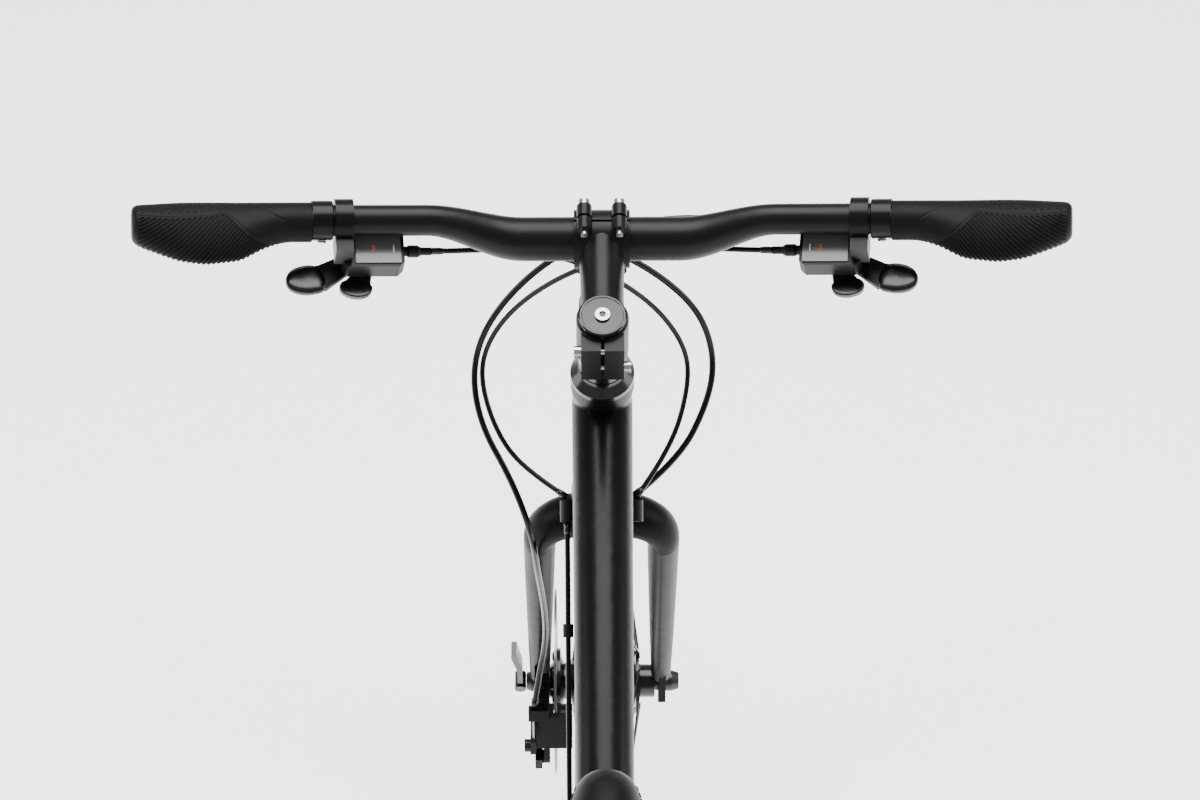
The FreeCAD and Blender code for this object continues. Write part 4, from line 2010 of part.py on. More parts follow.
POD = at(point(CTRL, -d.pod_behind, -d.pod_below, 0),
         CTRL.Rotation.multVec(Vector(-math.sin(pod_tilt), math.cos(pod_tilt), 0)),
         CTRL.Rotation.multVec(Z_AXIS))
front_rotor = d.front_hub_width / 2 - d.front_rotor_inset
rear_rotor = d.rear_hub_width / 2 - d.rear_rotor_inset
front_turn = math.radians(d.front_caliper_angle)
front_outward = STEER.Rotation.multVec(Vector(math.cos(front_turn), 0, math.sin(front_turn)))
FRONT_BRAKE = brake_frame(front_axle, front_outward, front_rotor)
REAR_BRAKE = brake_frame(rear_axle, (stay_low + stay_high).normalize(), rear_rotor)
rear_turn = math.atan2(stay_high.z, stay_high.x) + math.radians(d.rear_arm_lift)
REAR_ARM = at(REAR_BRAKE.Base, Y_AXIS, Vector(math.cos(rear_turn), 0, math.sin(rear_turn)).cross(Y_AXIS))
FRONT_WHEEL = at(front_axle, Y_AXIS, X_AXIS)
REAR_WHEEL = at(rear_axle, Y_AXIS, X_AXIS)

# Cable entries and housing routes, with points chosen by hand
port_run = (-0.672, 0, -0.741)
port_base = point(STEER, 0, 0, crown_top)
CABLE_PORTS = {
    "port_left": (port_base + Vector(-33.018215, 26, 22.037356), port_run),
    "port_right_upper": (port_base + Vector(-37.418215, -25.3, 26.037356), port_run),
    "port_right_lower": (port_base + Vector(-24.118215, -23.5, 14.037356), port_run)}
clip_start = port_base + Vector(-38.418215, 26, 16.137356)
clip_end = bb_centre + Vector(62.786301, 23.8, 65.3)
grommet_start = rear_axle + Vector(258.4, 40.9, -23.9)
grommet_end = rear_axle + Vector(227.5, 48.5, -11)
CABLE_ROUTES = {
    "left_shift": ("control_cables", d.shift_housing, [
        (348.02, 122.49, 948.79), (354, 98, 945), (366, 66, 937), (380, 30, 920), (391, -8, 893),
        (399, -42, 857),
        (400, -64, 818), (388, -66, 790), (352, -52, 758), (320.1, -25.3, 738.1)]),
    "left_brake": ("control_cables", d.brake_housing, [
        (369.17, 157.59, 961.93), (376, 126, 957), (388, 88, 948), (398, 44, 934), (405, 0, 912),
        (409, -42, 882),
        (409, -74, 846), (402, -86, 806), (382, -80, 778), (352, -58, 748), (334.2, -23.5, 727)]),
    "right_shift": ("control_cables", d.shift_housing, [
        (348.02, -122.49, 948.79), (354, -98, 945), (367, -62, 937), (382, -20, 921), (394, 24, 895),
        (402, 62, 860),
        (404, 86, 822), (392, 92, 792), (362, 76, 757), (340, 50, 742), (325.05, 26, 734.7)]),
    "right_brake": ("front_brake_cable", d.brake_housing, [
        (369.17, -157.59, 961.93), (376, -126, 957), (388, -86, 948), (404, -40, 936), (413.5, 6, 914),
        (415, 50, 881),
        (409, 84, 840), (400, 98, 800), (376, 92, 764), (350, 68, 730), (328, 53, 695), (350.3, 50, 639.2),
        (382.8, 47, 581.7), (414.4, 45, 523.8), (438, 46, 473.8), (440, 51, 440.3), (429.6, 56.1, 409.4)]),
    "rear_shift": ("frame_cables", d.shift_housing, [
        tuple(clip_start), tuple(clip_end), (-58, 22.5, 296), (-80, 12, 254.5), (-112, -8, 251),
        (-150, -22, 262), (-200, -31, 276), (-440, -68, 316), (-480, -80, 314), (-530.2, -82, 317)]),
    "rear_brake": ("frame_cables", d.brake_housing, [
        tuple(grommet_start), tuple(grommet_end), (-340, 57, 350), (-375, 65, 367), (-409.6, 69.3, 386.2)])}

# Places of the drivetrain
chain_plane = -float(d.chain_line)
guide_centre = rear_axle + Vector(-float(d.guide_back), 0, -float(d.guide_drop))
link_end = guide_centre + Vector(float(d.link_end_ahead), chain_plane - float(d.link_end_outside),
                                 float(d.link_end_above))
link_run = Vector(float(d.link_forward), float(d.link_inward), -float(d.link_down))
link_start = link_end - link_run
shift_slope = (link_run.y + link_run.z * -cassette_slope_share) / link_run.x
shift_path = Vector(-shift_slope, 1, -cassette_slope_share)
LINK = at(link_start, link_run.cross(shift_path), link_run)


def build():
    """Make every sub-part, in the order in which they are carried."""
    outside = front_triangle()
    stays = rear_triangle(outside)
    frame_bearings()
    seat_clamp()
    headset_stack()
    fork()
    stem()
    handlebar()
    grips()
    brake_controls()
    shift_controls()
    caliper("front", FRONT_BRAKE, FRONT_BRAKE)
    caliper("rear", REAR_BRAKE, REAR_ARM)
    front_ends = d.front_hub_width / 2 - d.locknut_thickness - d.face_gap
    rear_left = d.rear_hub_width / 2 - d.locknut_thickness - d.face_gap
    cassette_end = chain_plane + d.cog_pitch * (len(cog_teeth) - chain_cog)
    rear_right = cassette_end + d.face_gap
    wheels = {
        "front": (FRONT_WHEEL, front_ends, -front_ends, d.front_left_flange, -d.front_right_flange,
                  front_rotor),
        "rear": (REAR_WHEEL, rear_left, rear_right, d.rear_left_flange, -d.rear_right_flange, rear_rotor)}
    for name, (place, left_end, right_end, left_flange, right_flange, plane) in wheels.items():
        tyre_and_rim(name, place)
        hub(name, place, left_end, right_end, left_flange, right_flange, plane)
        spokes(name, place, left_flange, right_flange)
        rotor(name, place, plane)
    axle("front", FRONT_WHEEL, d.front_hub_width)
    axle("rear", REAR_WHEEL, d.rear_hub_width)
    levers = [skewer_lever("front", FRONT_WHEEL, steer_up), skewer_lever("rear", REAR_WHEEL, stay_high)]
    cage_angle, links = solve_cage()
    pieces = belt(chain_circles(cage_angle))
    spots = belt_spots(pieces, links)
    chain(spots)
    cassette(spots)
    crankset(spots)
    pedals()
    rear_derailleur(spots, cage_angle)
    fd_pivot = front_derailleur()
    saddle()
    cable_guides([outside, stays])
    cables()
    print("chain links", links, "cage angle", round(math.degrees(cage_angle), 2))
    return levers, fd_pivot


def show_joints(levers, fd_pivot):
    """Print the joint places and axes, so that they can be read beside the model."""
    rows = {
        "steering": (STEER.Base, steer_up),
        "front_wheel": (front_axle, Y_AXIS),
        "rear_wheel": (rear_axle, Y_AXIS),
        "crank": (bb_centre, Y_AXIS),
        "pedal_left": (bb_centre - X_AXIS * float(d.crank_length), Y_AXIS),
        "pedal_right": (bb_centre + X_AXIS * float(d.crank_length), Y_AXIS),
        "brake_lever_left": (point(LEVER, d.lever_pivot_place, d.lever_pivot_reach, 0),
                             LEVER.Rotation.multVec(Z_AXIS)),
        "shift_paddle_left": (point(POD, d.pod_start + d.paddle_pivot, 0, 0), POD.Rotation.multVec(Z_AXIS)),
        "front_caliper_arm": (FRONT_BRAKE.Base, Y_AXIS),
        "rear_caliper_arm": (REAR_BRAKE.Base, Y_AXIS),
        "front_skewer_lever": levers[0],
        "rear_skewer_lever": levers[1],
        "derailleur_link": (LINK.Base, LINK.Rotation.multVec(Z_AXIS)),
        "derailleur_knuckle": (link_end, LINK.Rotation.multVec(Z_AXIS)),
        "derailleur_cage": (guide_centre, Y_AXIS),
        "tension_pulley": (chain_circles(solve_cage()[0])[3][0], Y_AXIS),
        "front_derailleur_cage": (fd_pivot, X_AXIS),
        "seatpost": (point(SEAT, 0, 0, d.seat_tube_length), seat_up)}
    for name, (place, along) in rows.items():
        print("joint", name, [round(v, 3) for v in place], [round(v, 6) for v in along])


def check_and_write():
    """Refuse a failed object or shape, then write one file for each sub-part."""
    doc.recompute()
    bad = [item.Name for item in doc.Objects if {"Invalid", "Error"} & set(item.State)]
    for item in NODES:
        if item.Shape.isNull() or not item.Shape.isValid() or not item.Shape.Solids:
            bad.append(item.Name)
    if bad:
        raise RuntimeError("failed pieces: " + ", ".join(bad))
    for item in NODES:
        item.Shape.exportStep(f"parts/{item.Label}.step")
    print(len(NODES), "sub-parts,", sum(len(item.Shape.Solids) for item in NODES), "solids")


show_joints(*build())
check_and_write()
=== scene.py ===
"""Looks of a flat-bar hybrid bike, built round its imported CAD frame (metres, +X forward, +Y left, +Z up)."""

import logging
import math
from dataclasses import dataclass, field
from enum import Enum

import bmesh
import bpy
import numpy as np
from mathutils import Matrix, Vector


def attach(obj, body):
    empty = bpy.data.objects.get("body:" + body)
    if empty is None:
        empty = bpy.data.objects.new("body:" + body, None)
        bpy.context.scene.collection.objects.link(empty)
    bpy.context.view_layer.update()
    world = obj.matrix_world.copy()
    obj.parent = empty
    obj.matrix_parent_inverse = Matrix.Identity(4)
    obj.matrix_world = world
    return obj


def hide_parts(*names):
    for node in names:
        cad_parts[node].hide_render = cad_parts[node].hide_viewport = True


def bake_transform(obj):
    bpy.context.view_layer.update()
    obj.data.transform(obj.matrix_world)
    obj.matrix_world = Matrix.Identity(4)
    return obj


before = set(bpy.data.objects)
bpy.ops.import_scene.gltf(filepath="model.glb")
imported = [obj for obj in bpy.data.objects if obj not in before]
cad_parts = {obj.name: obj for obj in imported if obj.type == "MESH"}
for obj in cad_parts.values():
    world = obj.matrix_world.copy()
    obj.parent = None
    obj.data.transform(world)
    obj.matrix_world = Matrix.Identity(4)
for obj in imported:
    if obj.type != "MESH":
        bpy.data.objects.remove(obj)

LOG = logging.getLogger("hybrid_bike")
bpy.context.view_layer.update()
MM = 0.001
STEERING = "steering"
FRAME = "frame"
SEAT = "seat"
AXLE_HEIGHT = 346.0
AXLE_REACH = 527.5
MERGE_DISTANCE = 1e-6
CORD_STEPS = 8
CORD_BEVEL_STEPS = 4
CORD_ORDER = 3
BOX_FACES = [(3, 2, 1, 0), (4, 5, 6, 7), (0, 1, 5, 4), (1, 2, 6, 5), (2, 3, 7, 6), (3, 0, 4, 7)]

Point = tuple[float, float, float]
Outline = tuple[tuple[float, float], ...]
Grid = np.ndarray


class Pattern(Enum):
    """Which small relief a finish carries."""

    GRAIN = "grain"
    BRUSHED = "brushed"
    LEATHER = "leather"
    TREAD = "tread"


class Side(Enum):
    """Left and right of the bike, as signs of Y."""

    LEFT = 1
    RIGHT = -1

    @property
    def label(self) -> str:
        """The side's name as it ends a piece's name."""
        return self.name.lower()


def group_socket(tree: bpy.types.NodeTree, name: str, kind: str, into: bool,
                 value: float | None = None) -> None:
    """Add one socket to a node group.

    Args:
        tree: The group's tree.
        name: The socket's name.
        kind: The socket type without its prefix, such as Float.
        into: True for an input.
        value: Default of an input.
    """
    flow = "INPUT" if into else "OUTPUT"
    socket = tree.interface.new_socket(name, in_out=flow, socket_type=f"NodeSocket{kind}")
    if value is not None:
        socket.default_value = value


@dataclass(frozen=True)
class SurfaceGroup:
    """Shared shader group: fine relief, roughness mottling and settled dust."""

    name: str = "surface_relief"
    fine_scale: float = 900.0
    fine_detail: float = 4.0
    blotch_scale: float = 25.0
    blotch_detail: float = 6.0
    dust_from: float = 0.55
    dust_full: float = 0.8

    def tree(self) -> bpy.types.NodeTree:
        """Return the group, built once."""
        found = bpy.data.node_groups.get(self.name)
        return found if found else self._build()

    def _build(self) -> bpy.types.NodeTree:
        """Build the noise layers behind the group's three outputs."""
        tree = bpy.data.node_groups.new(self.name, "ShaderNodeTree")
        group_socket(tree, "Vector", "Vector", True)
        group_socket(tree, "Scale", "Float", True, self.fine_scale)
        group_socket(tree, "Blotch", "Float", True, self.blotch_scale)
        for name in ("Height", "Mottle", "Dust"):
            group_socket(tree, name, "Float", False)
        nodes, links = tree.nodes, tree.links
        source = nodes.new("NodeGroupInput")
        result = nodes.new("NodeGroupOutput")

        def noise(scale: str, detail: float, output: str) -> bpy.types.NodeSocket:
            """Add one noise layer behind an output and return its value."""
            node = nodes.new("ShaderNodeTexNoise")
            node.inputs["Detail"].default_value = detail
            links.new(source.outputs["Vector"], node.inputs["Vector"])
            links.new(source.outputs[scale], node.inputs["Scale"])
            links.new(node.outputs["Fac"], result.inputs[output])
            return node.outputs["Fac"]

        noise("Scale", self.fine_detail, "Height")
        blotch = noise("Blotch", self.blotch_detail, "Mottle")
        settle = nodes.new("ShaderNodeMapRange")
        settle.inputs["From Min"].default_value = self.dust_from
        settle.inputs["From Max"].default_value = self.dust_full
        links.new(blotch, settle.inputs["Value"])
        links.new(settle.outputs["Result"], result.inputs["Dust"])
        return tree


@dataclass(frozen=True)
class Tread:
    """Slanted grooves on both shoulders of a tyre, counted round its axle."""

    count: int = 90
    slant: float = 9.0
    groove_share: float = 0.16
    inner_edge: float = 4.5 * MM
    outer_edge: float = 13.5 * MM

    def height(self, tree: bpy.types.NodeTree, vector: bpy.types.NodeSocket) -> bpy.types.NodeSocket:
        """Add the nodes of the grooves.

        Args:
            tree: The material's tree.
            vector: Coordinates centred on the axle.

        Returns:
            The socket that holds the height.
        """
        nodes, links = tree.nodes, tree.links

        def math_node(operation: str, first: object, second: object = None) -> bpy.types.NodeSocket:
            """Add one maths node fed by sockets or numbers."""
            node = nodes.new("ShaderNodeMath")
            node.operation = operation
            for socket, value in zip(node.inputs, (first, second)):
                if isinstance(value, bpy.types.NodeSocket):
                    links.new(value, socket)
                elif value is not None:
                    socket.default_value = value
            return node.outputs[0]

        split = nodes.new("ShaderNodeSeparateXYZ")
        links.new(vector, split.inputs[0])
        angle = math_node("ARCTAN2", split.outputs["Z"], split.outputs["X"])
        across = math_node("ABSOLUTE", split.outputs["Y"])
        slanted = math_node("ADD", angle, math_node("MULTIPLY", across, self.slant))
        turns = math_node("MULTIPLY", slanted, self.count / math.tau)
        groove = math_node("LESS_THAN", math_node("FRACT", turns), self.groove_share)
        beyond = math_node("GREATER_THAN", across, self.inner_edge)
        within = math_node("LESS_THAN", across, self.outer_edge)
        cut = math_node("MULTIPLY", groove, math_node("MULTIPLY", beyond, within))
        return math_node("SUBTRACT", 1.0, cut)


@dataclass(frozen=True)
class Finish:
    """One surface finish, made into a node material on first use."""

    name: str
    slot: str
    colour: Point
    roughness: float
    metallic: float = 0.0
    pattern: Pattern = Pattern.GRAIN
    scale: float = 900.0
    depth: float = 0.08
    spread: float = 0.12
    coat: float = 0.0
    dust: float = 0.03
    shine: float = 0.22
    centre: Point = (0.0, 0.0, 0.0)
    coat_roughness: float = 0.25
    least_roughness: float = 0.02
    brush_stretch: Point = (0.06, 1.0, 1.0)
    dust_keep: float = 0.8
    dust_lift: float = 0.08
    bump_height: float = 0.5 * MM

    def material(self) -> bpy.types.Material:
        """Return the finish's material, built once."""
        found = bpy.data.materials.get(f"finish_{self.name}")
        return found if found else self._build()

    def _build(self) -> bpy.types.Material:
        """Build colour, roughness and relief from the shared group and the finish's own pattern."""
        material = bpy.data.materials.new(f"finish_{self.name}")
        material.use_nodes = True
        tree = material.node_tree
        nodes, links = tree.nodes, tree.links
        shader = nodes["Principled BSDF"]
        shader.inputs["Metallic"].default_value = self.metallic
        shader.inputs["Coat Weight"].default_value = self.coat
        shader.inputs["Coat Roughness"].default_value = self.coat_roughness
        shader.inputs["Specular IOR Level"].default_value = self.shine
        vector = self._coordinates(tree)
        relief = nodes.new("ShaderNodeGroup")
        relief.node_tree = SurfaceGroup().tree()
        relief.inputs["Scale"].default_value = self.scale
        links.new(vector, relief.inputs["Vector"])
        rough = nodes.new("ShaderNodeMapRange")
        rough.inputs["To Min"].default_value = max(self.roughness - self.spread, self.least_roughness)
        rough.inputs["To Max"].default_value = min(self.roughness + self.spread, 1.0)
        links.new(relief.outputs["Mottle"], rough.inputs["Value"])
        links.new(rough.outputs["Result"], shader.inputs["Roughness"])
        dusty = [value * self.dust_keep + self.dust_lift for value in self.colour]
        tint = nodes.new("ShaderNodeMix")
        tint.data_type = "RGBA"
        tint.inputs["A"].default_value = (*self.colour, 1.0)
        tint.inputs["B"].default_value = (*dusty, 1.0)
        share = nodes.new("ShaderNodeMath")
        share.operation = "MULTIPLY"
        share.inputs[1].default_value = self.dust
        links.new(relief.outputs["Dust"], share.inputs[0])
        links.new(share.outputs[0], tint.inputs["Factor"])
        links.new(tint.outputs["Result"], shader.inputs["Base Color"])
        bump = nodes.new("ShaderNodeBump")
        bump.inputs["Strength"].default_value = self.depth
        bump.inputs["Distance"].default_value = self.bump_height
        links.new(self._height(tree, vector, relief), bump.inputs["Height"])
        links.new(bump.outputs["Normal"], shader.inputs["Normal"])
        return material

    def _coordinates(self, tree: bpy.types.NodeTree) -> bpy.types.NodeSocket:
        """Return Object coordinates about the finish's centre, stretched where it is brushed."""
        nodes, links = tree.nodes, tree.links
        place = nodes.new("ShaderNodeTexCoord")
        shift = nodes.new("ShaderNodeMapping")
        shift.inputs["Location"].default_value = [-value for value in self.centre]
        links.new(place.outputs["Object"], shift.inputs["Vector"])
        if self.pattern is not Pattern.BRUSHED:
            return shift.outputs["Vector"]
        stretch = nodes.new("ShaderNodeMapping")
        stretch.inputs["Scale"].default_value = self.brush_stretch
        links.new(shift.outputs["Vector"], stretch.inputs["Vector"])
        return stretch.outputs["Vector"]

    def _height(self, tree: bpy.types.NodeTree, vector: bpy.types.NodeSocket,
                relief: bpy.types.Node) -> bpy.types.NodeSocket:
        """Choose the relief that the pattern asks for.

        Args:
            tree: The material's tree.
            vector: The finish's coordinates.
            relief: The shared group's node.

        Returns:
            The socket that holds the height.
        """
        if self.pattern is Pattern.LEATHER:
            cells = tree.nodes.new("ShaderNodeTexVoronoi")
            cells.feature = "SMOOTH_F1"
            cells.inputs["Scale"].default_value = self.scale
            tree.links.new(vector, cells.inputs["Vector"])
            return cells.outputs["Distance"]
        if self.pattern is Pattern.TREAD:
            return Tread().height(tree, vector)
        return relief.outputs["Height"]


def tyre_finish(end: str, reach: float) -> Finish:
    """Return the rubber of one tyre.

    Args:
        end: Front or rear.
        reach: The axle's place along X, in millimetres.

    Returns:
        The finish, with its grooves counted round that axle.
    """
    return Finish(f"{end}_tyre_rubber", "tyre", (0.005, 0.005, 0.005), 0.6, pattern=Pattern.TREAD, depth=0.9,
                  shine=0.05, centre=(reach * MM, 0.0, AXLE_HEIGHT * MM))


@dataclass(frozen=True)
class Finishes:
    """Every finish of the bike."""

    paint: Finish = Finish("matt_black_paint", "frame_paint", (0.003, 0.003, 0.0033), 0.3, depth=0.03,
                           scale=2600.0, spread=0.05, dust=0.01, shine=0.14)
    fork_paint: Finish = Finish("fork_black_paint", "frame_paint", (0.004, 0.004, 0.0043), 0.36, depth=0.03,
                                scale=2600.0, spread=0.05, dust=0.01, shine=0.05)
    anodised: Finish = Finish("black_anodised", "black_metal", (0.004, 0.004, 0.0044), 0.26, 0.2, depth=0.04,
                              scale=3000.0, spread=0.06, dust=0.01)
    satin: Finish = Finish("satin_black_bar", "black_metal", (0.004, 0.004, 0.0044), 0.36, 0.1, depth=0.04,
                           scale=3000.0, spread=0.06, dust=0.01)
    gloss: Finish = Finish("gloss_black", "black_metal", (0.004, 0.004, 0.0045), 0.14, 0.2, depth=0.02,
                           coat=0.6)
    steel: Finish = Finish("brushed_steel", "steel", (0.3, 0.3, 0.31), 0.3, 1.0, Pattern.BRUSHED,
                           scale=700.0, depth=0.12)
    dark_steel: Finish = Finish("dark_steel", "dark_steel", (0.06, 0.06, 0.063), 0.36, 0.9, Pattern.BRUSHED,
                                scale=700.0, depth=0.1)
    bolt: Finish = Finish("bright_bolt", "bolt_steel", (0.5, 0.5, 0.51), 0.22, 1.0, Pattern.BRUSHED,
                          scale=1500.0, depth=0.05)
    rubber: Finish = Finish("grip_rubber", "grip_rubber", (0.004, 0.004, 0.0041), 0.5, depth=0.12,
                            scale=2400.0, spread=0.08, dust=0.02, shine=0.12)
    front_tyre: Finish = tyre_finish("front", AXLE_REACH)
    rear_tyre: Finish = tyre_finish("rear", -AXLE_REACH)
    plastic: Finish = Finish("grained_plastic", "plastic", (0.006, 0.006, 0.0065), 0.36, depth=0.12,
                             scale=1800.0)
    grey: Finish = Finish("grey_plastic", "grey_plastic", (0.012, 0.012, 0.0125), 0.3, depth=0.1,
                          scale=1800.0)
    window: Finish = Finish("gear_window", "window", (0.1, 0.105, 0.11), 0.12, depth=0.01, coat=0.8)
    dial: Finish = Finish("dial_orange", "window", (0.85, 0.16, 0.03), 0.3, depth=0.02)
    tick: Finish = Finish("dial_tick", "window", (0.75, 0.75, 0.75), 0.3, depth=0.02)
    housing: Finish = Finish("cable_housing", "cable", (0.003, 0.003, 0.0033), 0.16, depth=0.01,
                             scale=1500.0, spread=0.04, dust=0.0)
    cover: Finish = Finish("saddle_cover", "saddle_cover", (0.004, 0.004, 0.0043), 0.4,
                           pattern=Pattern.LEATHER, scale=1300.0, depth=0.1, shine=0.14)
    thread: Finish = Finish("seam_thread", "saddle_cover", (0.03, 0.03, 0.031), 0.6, depth=0.2, scale=4000.0)


FINISHES = Finishes()


def coat(mesh: bpy.types.Mesh, finish: Finish) -> None:
    """Give a mesh one finish and no other."""
    mesh.materials.clear()
    mesh.materials.append(finish.material())


def shade_smooth(mesh: bpy.types.Mesh) -> None:
    """Shade every face of a mesh smooth."""
    mesh.polygons.foreach_set("use_smooth", [True] * len(mesh.polygons))


def piece(name: str, mesh: bpy.types.Mesh, finish: Finish, body: str | None,
          smooth: bool = True) -> bpy.types.Object:
    """Link a finished mesh as a piece of the bike.

    Args:
        name: The piece's name.
        mesh: Its mesh, in the bike's frame.
        finish: Its finish.
        body: The body it rides on, or None to leave it unattached.
        smooth: Shade it smooth.

    Returns:
        The new object.
    """
    item = bpy.data.objects.new(name, mesh)
    bpy.context.scene.collection.objects.link(item)
    coat(mesh, finish)
    if smooth:
        shade_smooth(mesh)
    if body:
        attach(item, body)
    LOG.info("piece %s: %d faces", name, len(mesh.polygons))
    return item


def evaluated_mesh(item: bpy.types.Object) -> bpy.types.Mesh:
    """Return an object's mesh as its modifiers or its curve's settings leave it."""
    bpy.context.view_layer.update()
    return bpy.data.meshes.new_from_object(item.evaluated_get(bpy.context.evaluated_depsgraph_get()))


def mesh_of_curve(name: str, curve: bpy.types.Curve) -> bpy.types.Mesh:
    """Turn a curve or a text into a mesh, through an object that is then removed."""
    holder = bpy.data.objects.new(name, curve)
    bpy.context.scene.collection.objects.link(holder)
    mesh = evaluated_mesh(holder)
    bpy.data.objects.remove(holder)
    return mesh


def weld(mesh: bpy.types.Mesh, distance: float) -> None:
    """Merge points that lie together and turn the normals outwards.

    Args:
        mesh: The mesh to change.
        distance: How near two points are merged.
    """
    shape = bmesh.new()
    shape.from_mesh(mesh)
    bmesh.ops.remove_doubles(shape, verts=shape.verts, dist=distance)
    bmesh.ops.recalc_face_normals(shape, faces=shape.faces)
    shape.to_mesh(mesh)
    shape.free()


def mesh_from(name: str, verts: Grid, faces: list[tuple[int, ...]]) -> bpy.types.Mesh:
    """Make a mesh from points and faces, with its normals pointing outwards."""
    mesh = bpy.data.meshes.new(name)
    mesh.from_pydata([tuple(v) for v in verts], [], faces)
    weld(mesh, MERGE_DISTANCE)
    return mesh


def skin(rows: int, ring: int) -> list[tuple[int, ...]]:
    """Faces of a closed tube of points, rows along by ring round, with both ends capped."""
    faces = []
    for row in range(rows - 1):
        low, high = row * ring, (row + 1) * ring
        for spot in range(ring):
            ahead = (spot + 1) % ring
            faces.append((low + spot, low + ahead, high + ahead, high + spot))
    faces.append(tuple(range(ring))[::-1])
    faces.append(tuple((rows - 1) * ring + spot for spot in range(ring)))
    return faces


def in_metres(outline: Outline) -> Outline:
    """Turn an outline of millimetres into metres."""
    return tuple((radius * MM, height * MM) for radius, height in outline)


def lathe(name: str, outline: Outline, base: Vector, axis: Vector, ring: int) -> bpy.types.Mesh:
    """Turn an outline of (radius, height) about an axis.

    Args:
        name: The mesh's name.
        outline: Radii and heights from the base, in metres.
        base: Point at height 0.
        axis: Direction of growing height.
        ring: Points round the turn.

    Returns:
        The closed mesh.
    """
    turn = Vector((0.0, 0.0, 1.0)).rotation_difference(axis.normalized()).to_matrix()
    verts = []
    for radius, height in outline:
        for spot in range(ring):
            angle = math.tau * spot / ring
            verts.append(base + turn @ Vector((radius * math.cos(angle), radius * math.sin(angle), height)))
    return mesh_from(name, np.array(verts), skin(len(outline), ring))


def tube(name: str, points: list[Point], radius: float) -> bpy.types.Mesh:
    """A smooth round cord along given points.

    Args:
        name: The mesh's name.
        points: Control points in metres.
        radius: The cord's radius.

    Returns:
        The tube's mesh, with capped ends.
    """
    curve = bpy.data.curves.new(name, "CURVE")
    curve.dimensions = "3D"
    curve.bevel_depth = radius
    curve.bevel_resolution = CORD_BEVEL_STEPS
    curve.use_fill_caps = True
    curve.resolution_u = CORD_STEPS
    spline = curve.splines.new("NURBS")
    spline.points.add(len(points) - 1)
    for spot, place in zip(spline.points, points):
        spot.co = (*place, 1.0)
    spline.order_u = CORD_ORDER
    spline.use_endpoint_u = True
    mesh = mesh_of_curve(name, curve)
    mesh.name = name
    return mesh


@dataclass
class Studio:
    """Pale floor, soft light all round and the camera of the photograph."""

    eye: Point = (-1.5986, 0.0125, 2.415)
    pitch: float = 39.5
    yaw: float = -0.33
    lens: float = 102.0
    sensor: float = 36.0
    sight: float = 60.0
    floor_size: float = 40.0
    floor_drop: float = MM
    floor_colour: Point = (0.86, 0.86, 0.86)
    floor_roughness: float = 0.95
    floor_glow: float = 2.0
    white: tuple[float, ...] = (1.0, 1.0, 1.0, 1.0)
    sky: float = 0.45
    lamps: dict[str, tuple[Point, Point, float, float]] = field(default_factory=lambda: {
        "top_lamp": ((0.9, 0.0, 3.2), (0.0, 12.0, 0.0), 2.0, 110.0),
        "left_lamp": ((0.4, 2.6, 1.7), (-60.0, 0.0, 0.0), 1.4, 40.0),
        "right_lamp": ((0.4, -2.6, 1.7), (60.0, 0.0, 0.0), 1.4, 40.0)})

    def build(self) -> None:
        """Make floor, lights and camera."""
        self._floor()
        self._lights()
        camera = bpy.data.cameras.new("photo_camera")
        camera.lens = self.lens
        camera.sensor_width = self.sensor
        camera.clip_end = self.sight
        holder = bpy.data.objects.new("photo_camera", camera)
        holder.location = self.eye
        holder.rotation_euler = (math.radians(90.0 - self.pitch), 0.0, math.radians(-90.0 + self.yaw))
        bpy.context.scene.collection.objects.link(holder)
        bpy.context.scene.camera = holder

    def _floor(self) -> None:
        """A wide plain floor just under the tyres."""
        half = self.floor_size / 2
        corners = ((-half, -half), (half, -half), (half, half), (-half, half))
        verts = np.array([(x, y, -self.floor_drop) for x, y in corners])
        mesh = mesh_from("floor", verts, [(0, 1, 2, 3)])
        material = bpy.data.materials.new("floor_paper")
        material.use_nodes = True
        shader = material.node_tree.nodes["Principled BSDF"]
        shader.inputs["Base Color"].default_value = (*self.floor_colour, 1.0)
        shader.inputs["Roughness"].default_value = self.floor_roughness
        shader.inputs["Specular IOR Level"].default_value = 0.0
        shader.inputs["Emission Color"].default_value = self.white
        shader.inputs["Emission Strength"].default_value = self.floor_glow
        mesh.materials.append(material)
        item = bpy.data.objects.new("floor", mesh)
        bpy.context.scene.collection.objects.link(item)

    def _lights(self) -> None:
        """An even pale surround, a large soft lamp above and one on each side."""
        world = bpy.data.worlds.new("studio")
        world.use_nodes = True
        background = world.node_tree.nodes["Background"]
        background.inputs["Color"].default_value = self.white
        background.inputs["Strength"].default_value = self.sky
        bpy.context.scene.world = world
        for name, (place, angles, size, power) in self.lamps.items():
            lamp = bpy.data.lights.new(name, "AREA")
            lamp.size = size
            lamp.energy = power
            holder = bpy.data.objects.new(name, lamp)
            holder.location = place
            holder.rotation_euler = [math.radians(angle) for angle in angles]
            bpy.context.scene.collection.objects.link(holder)


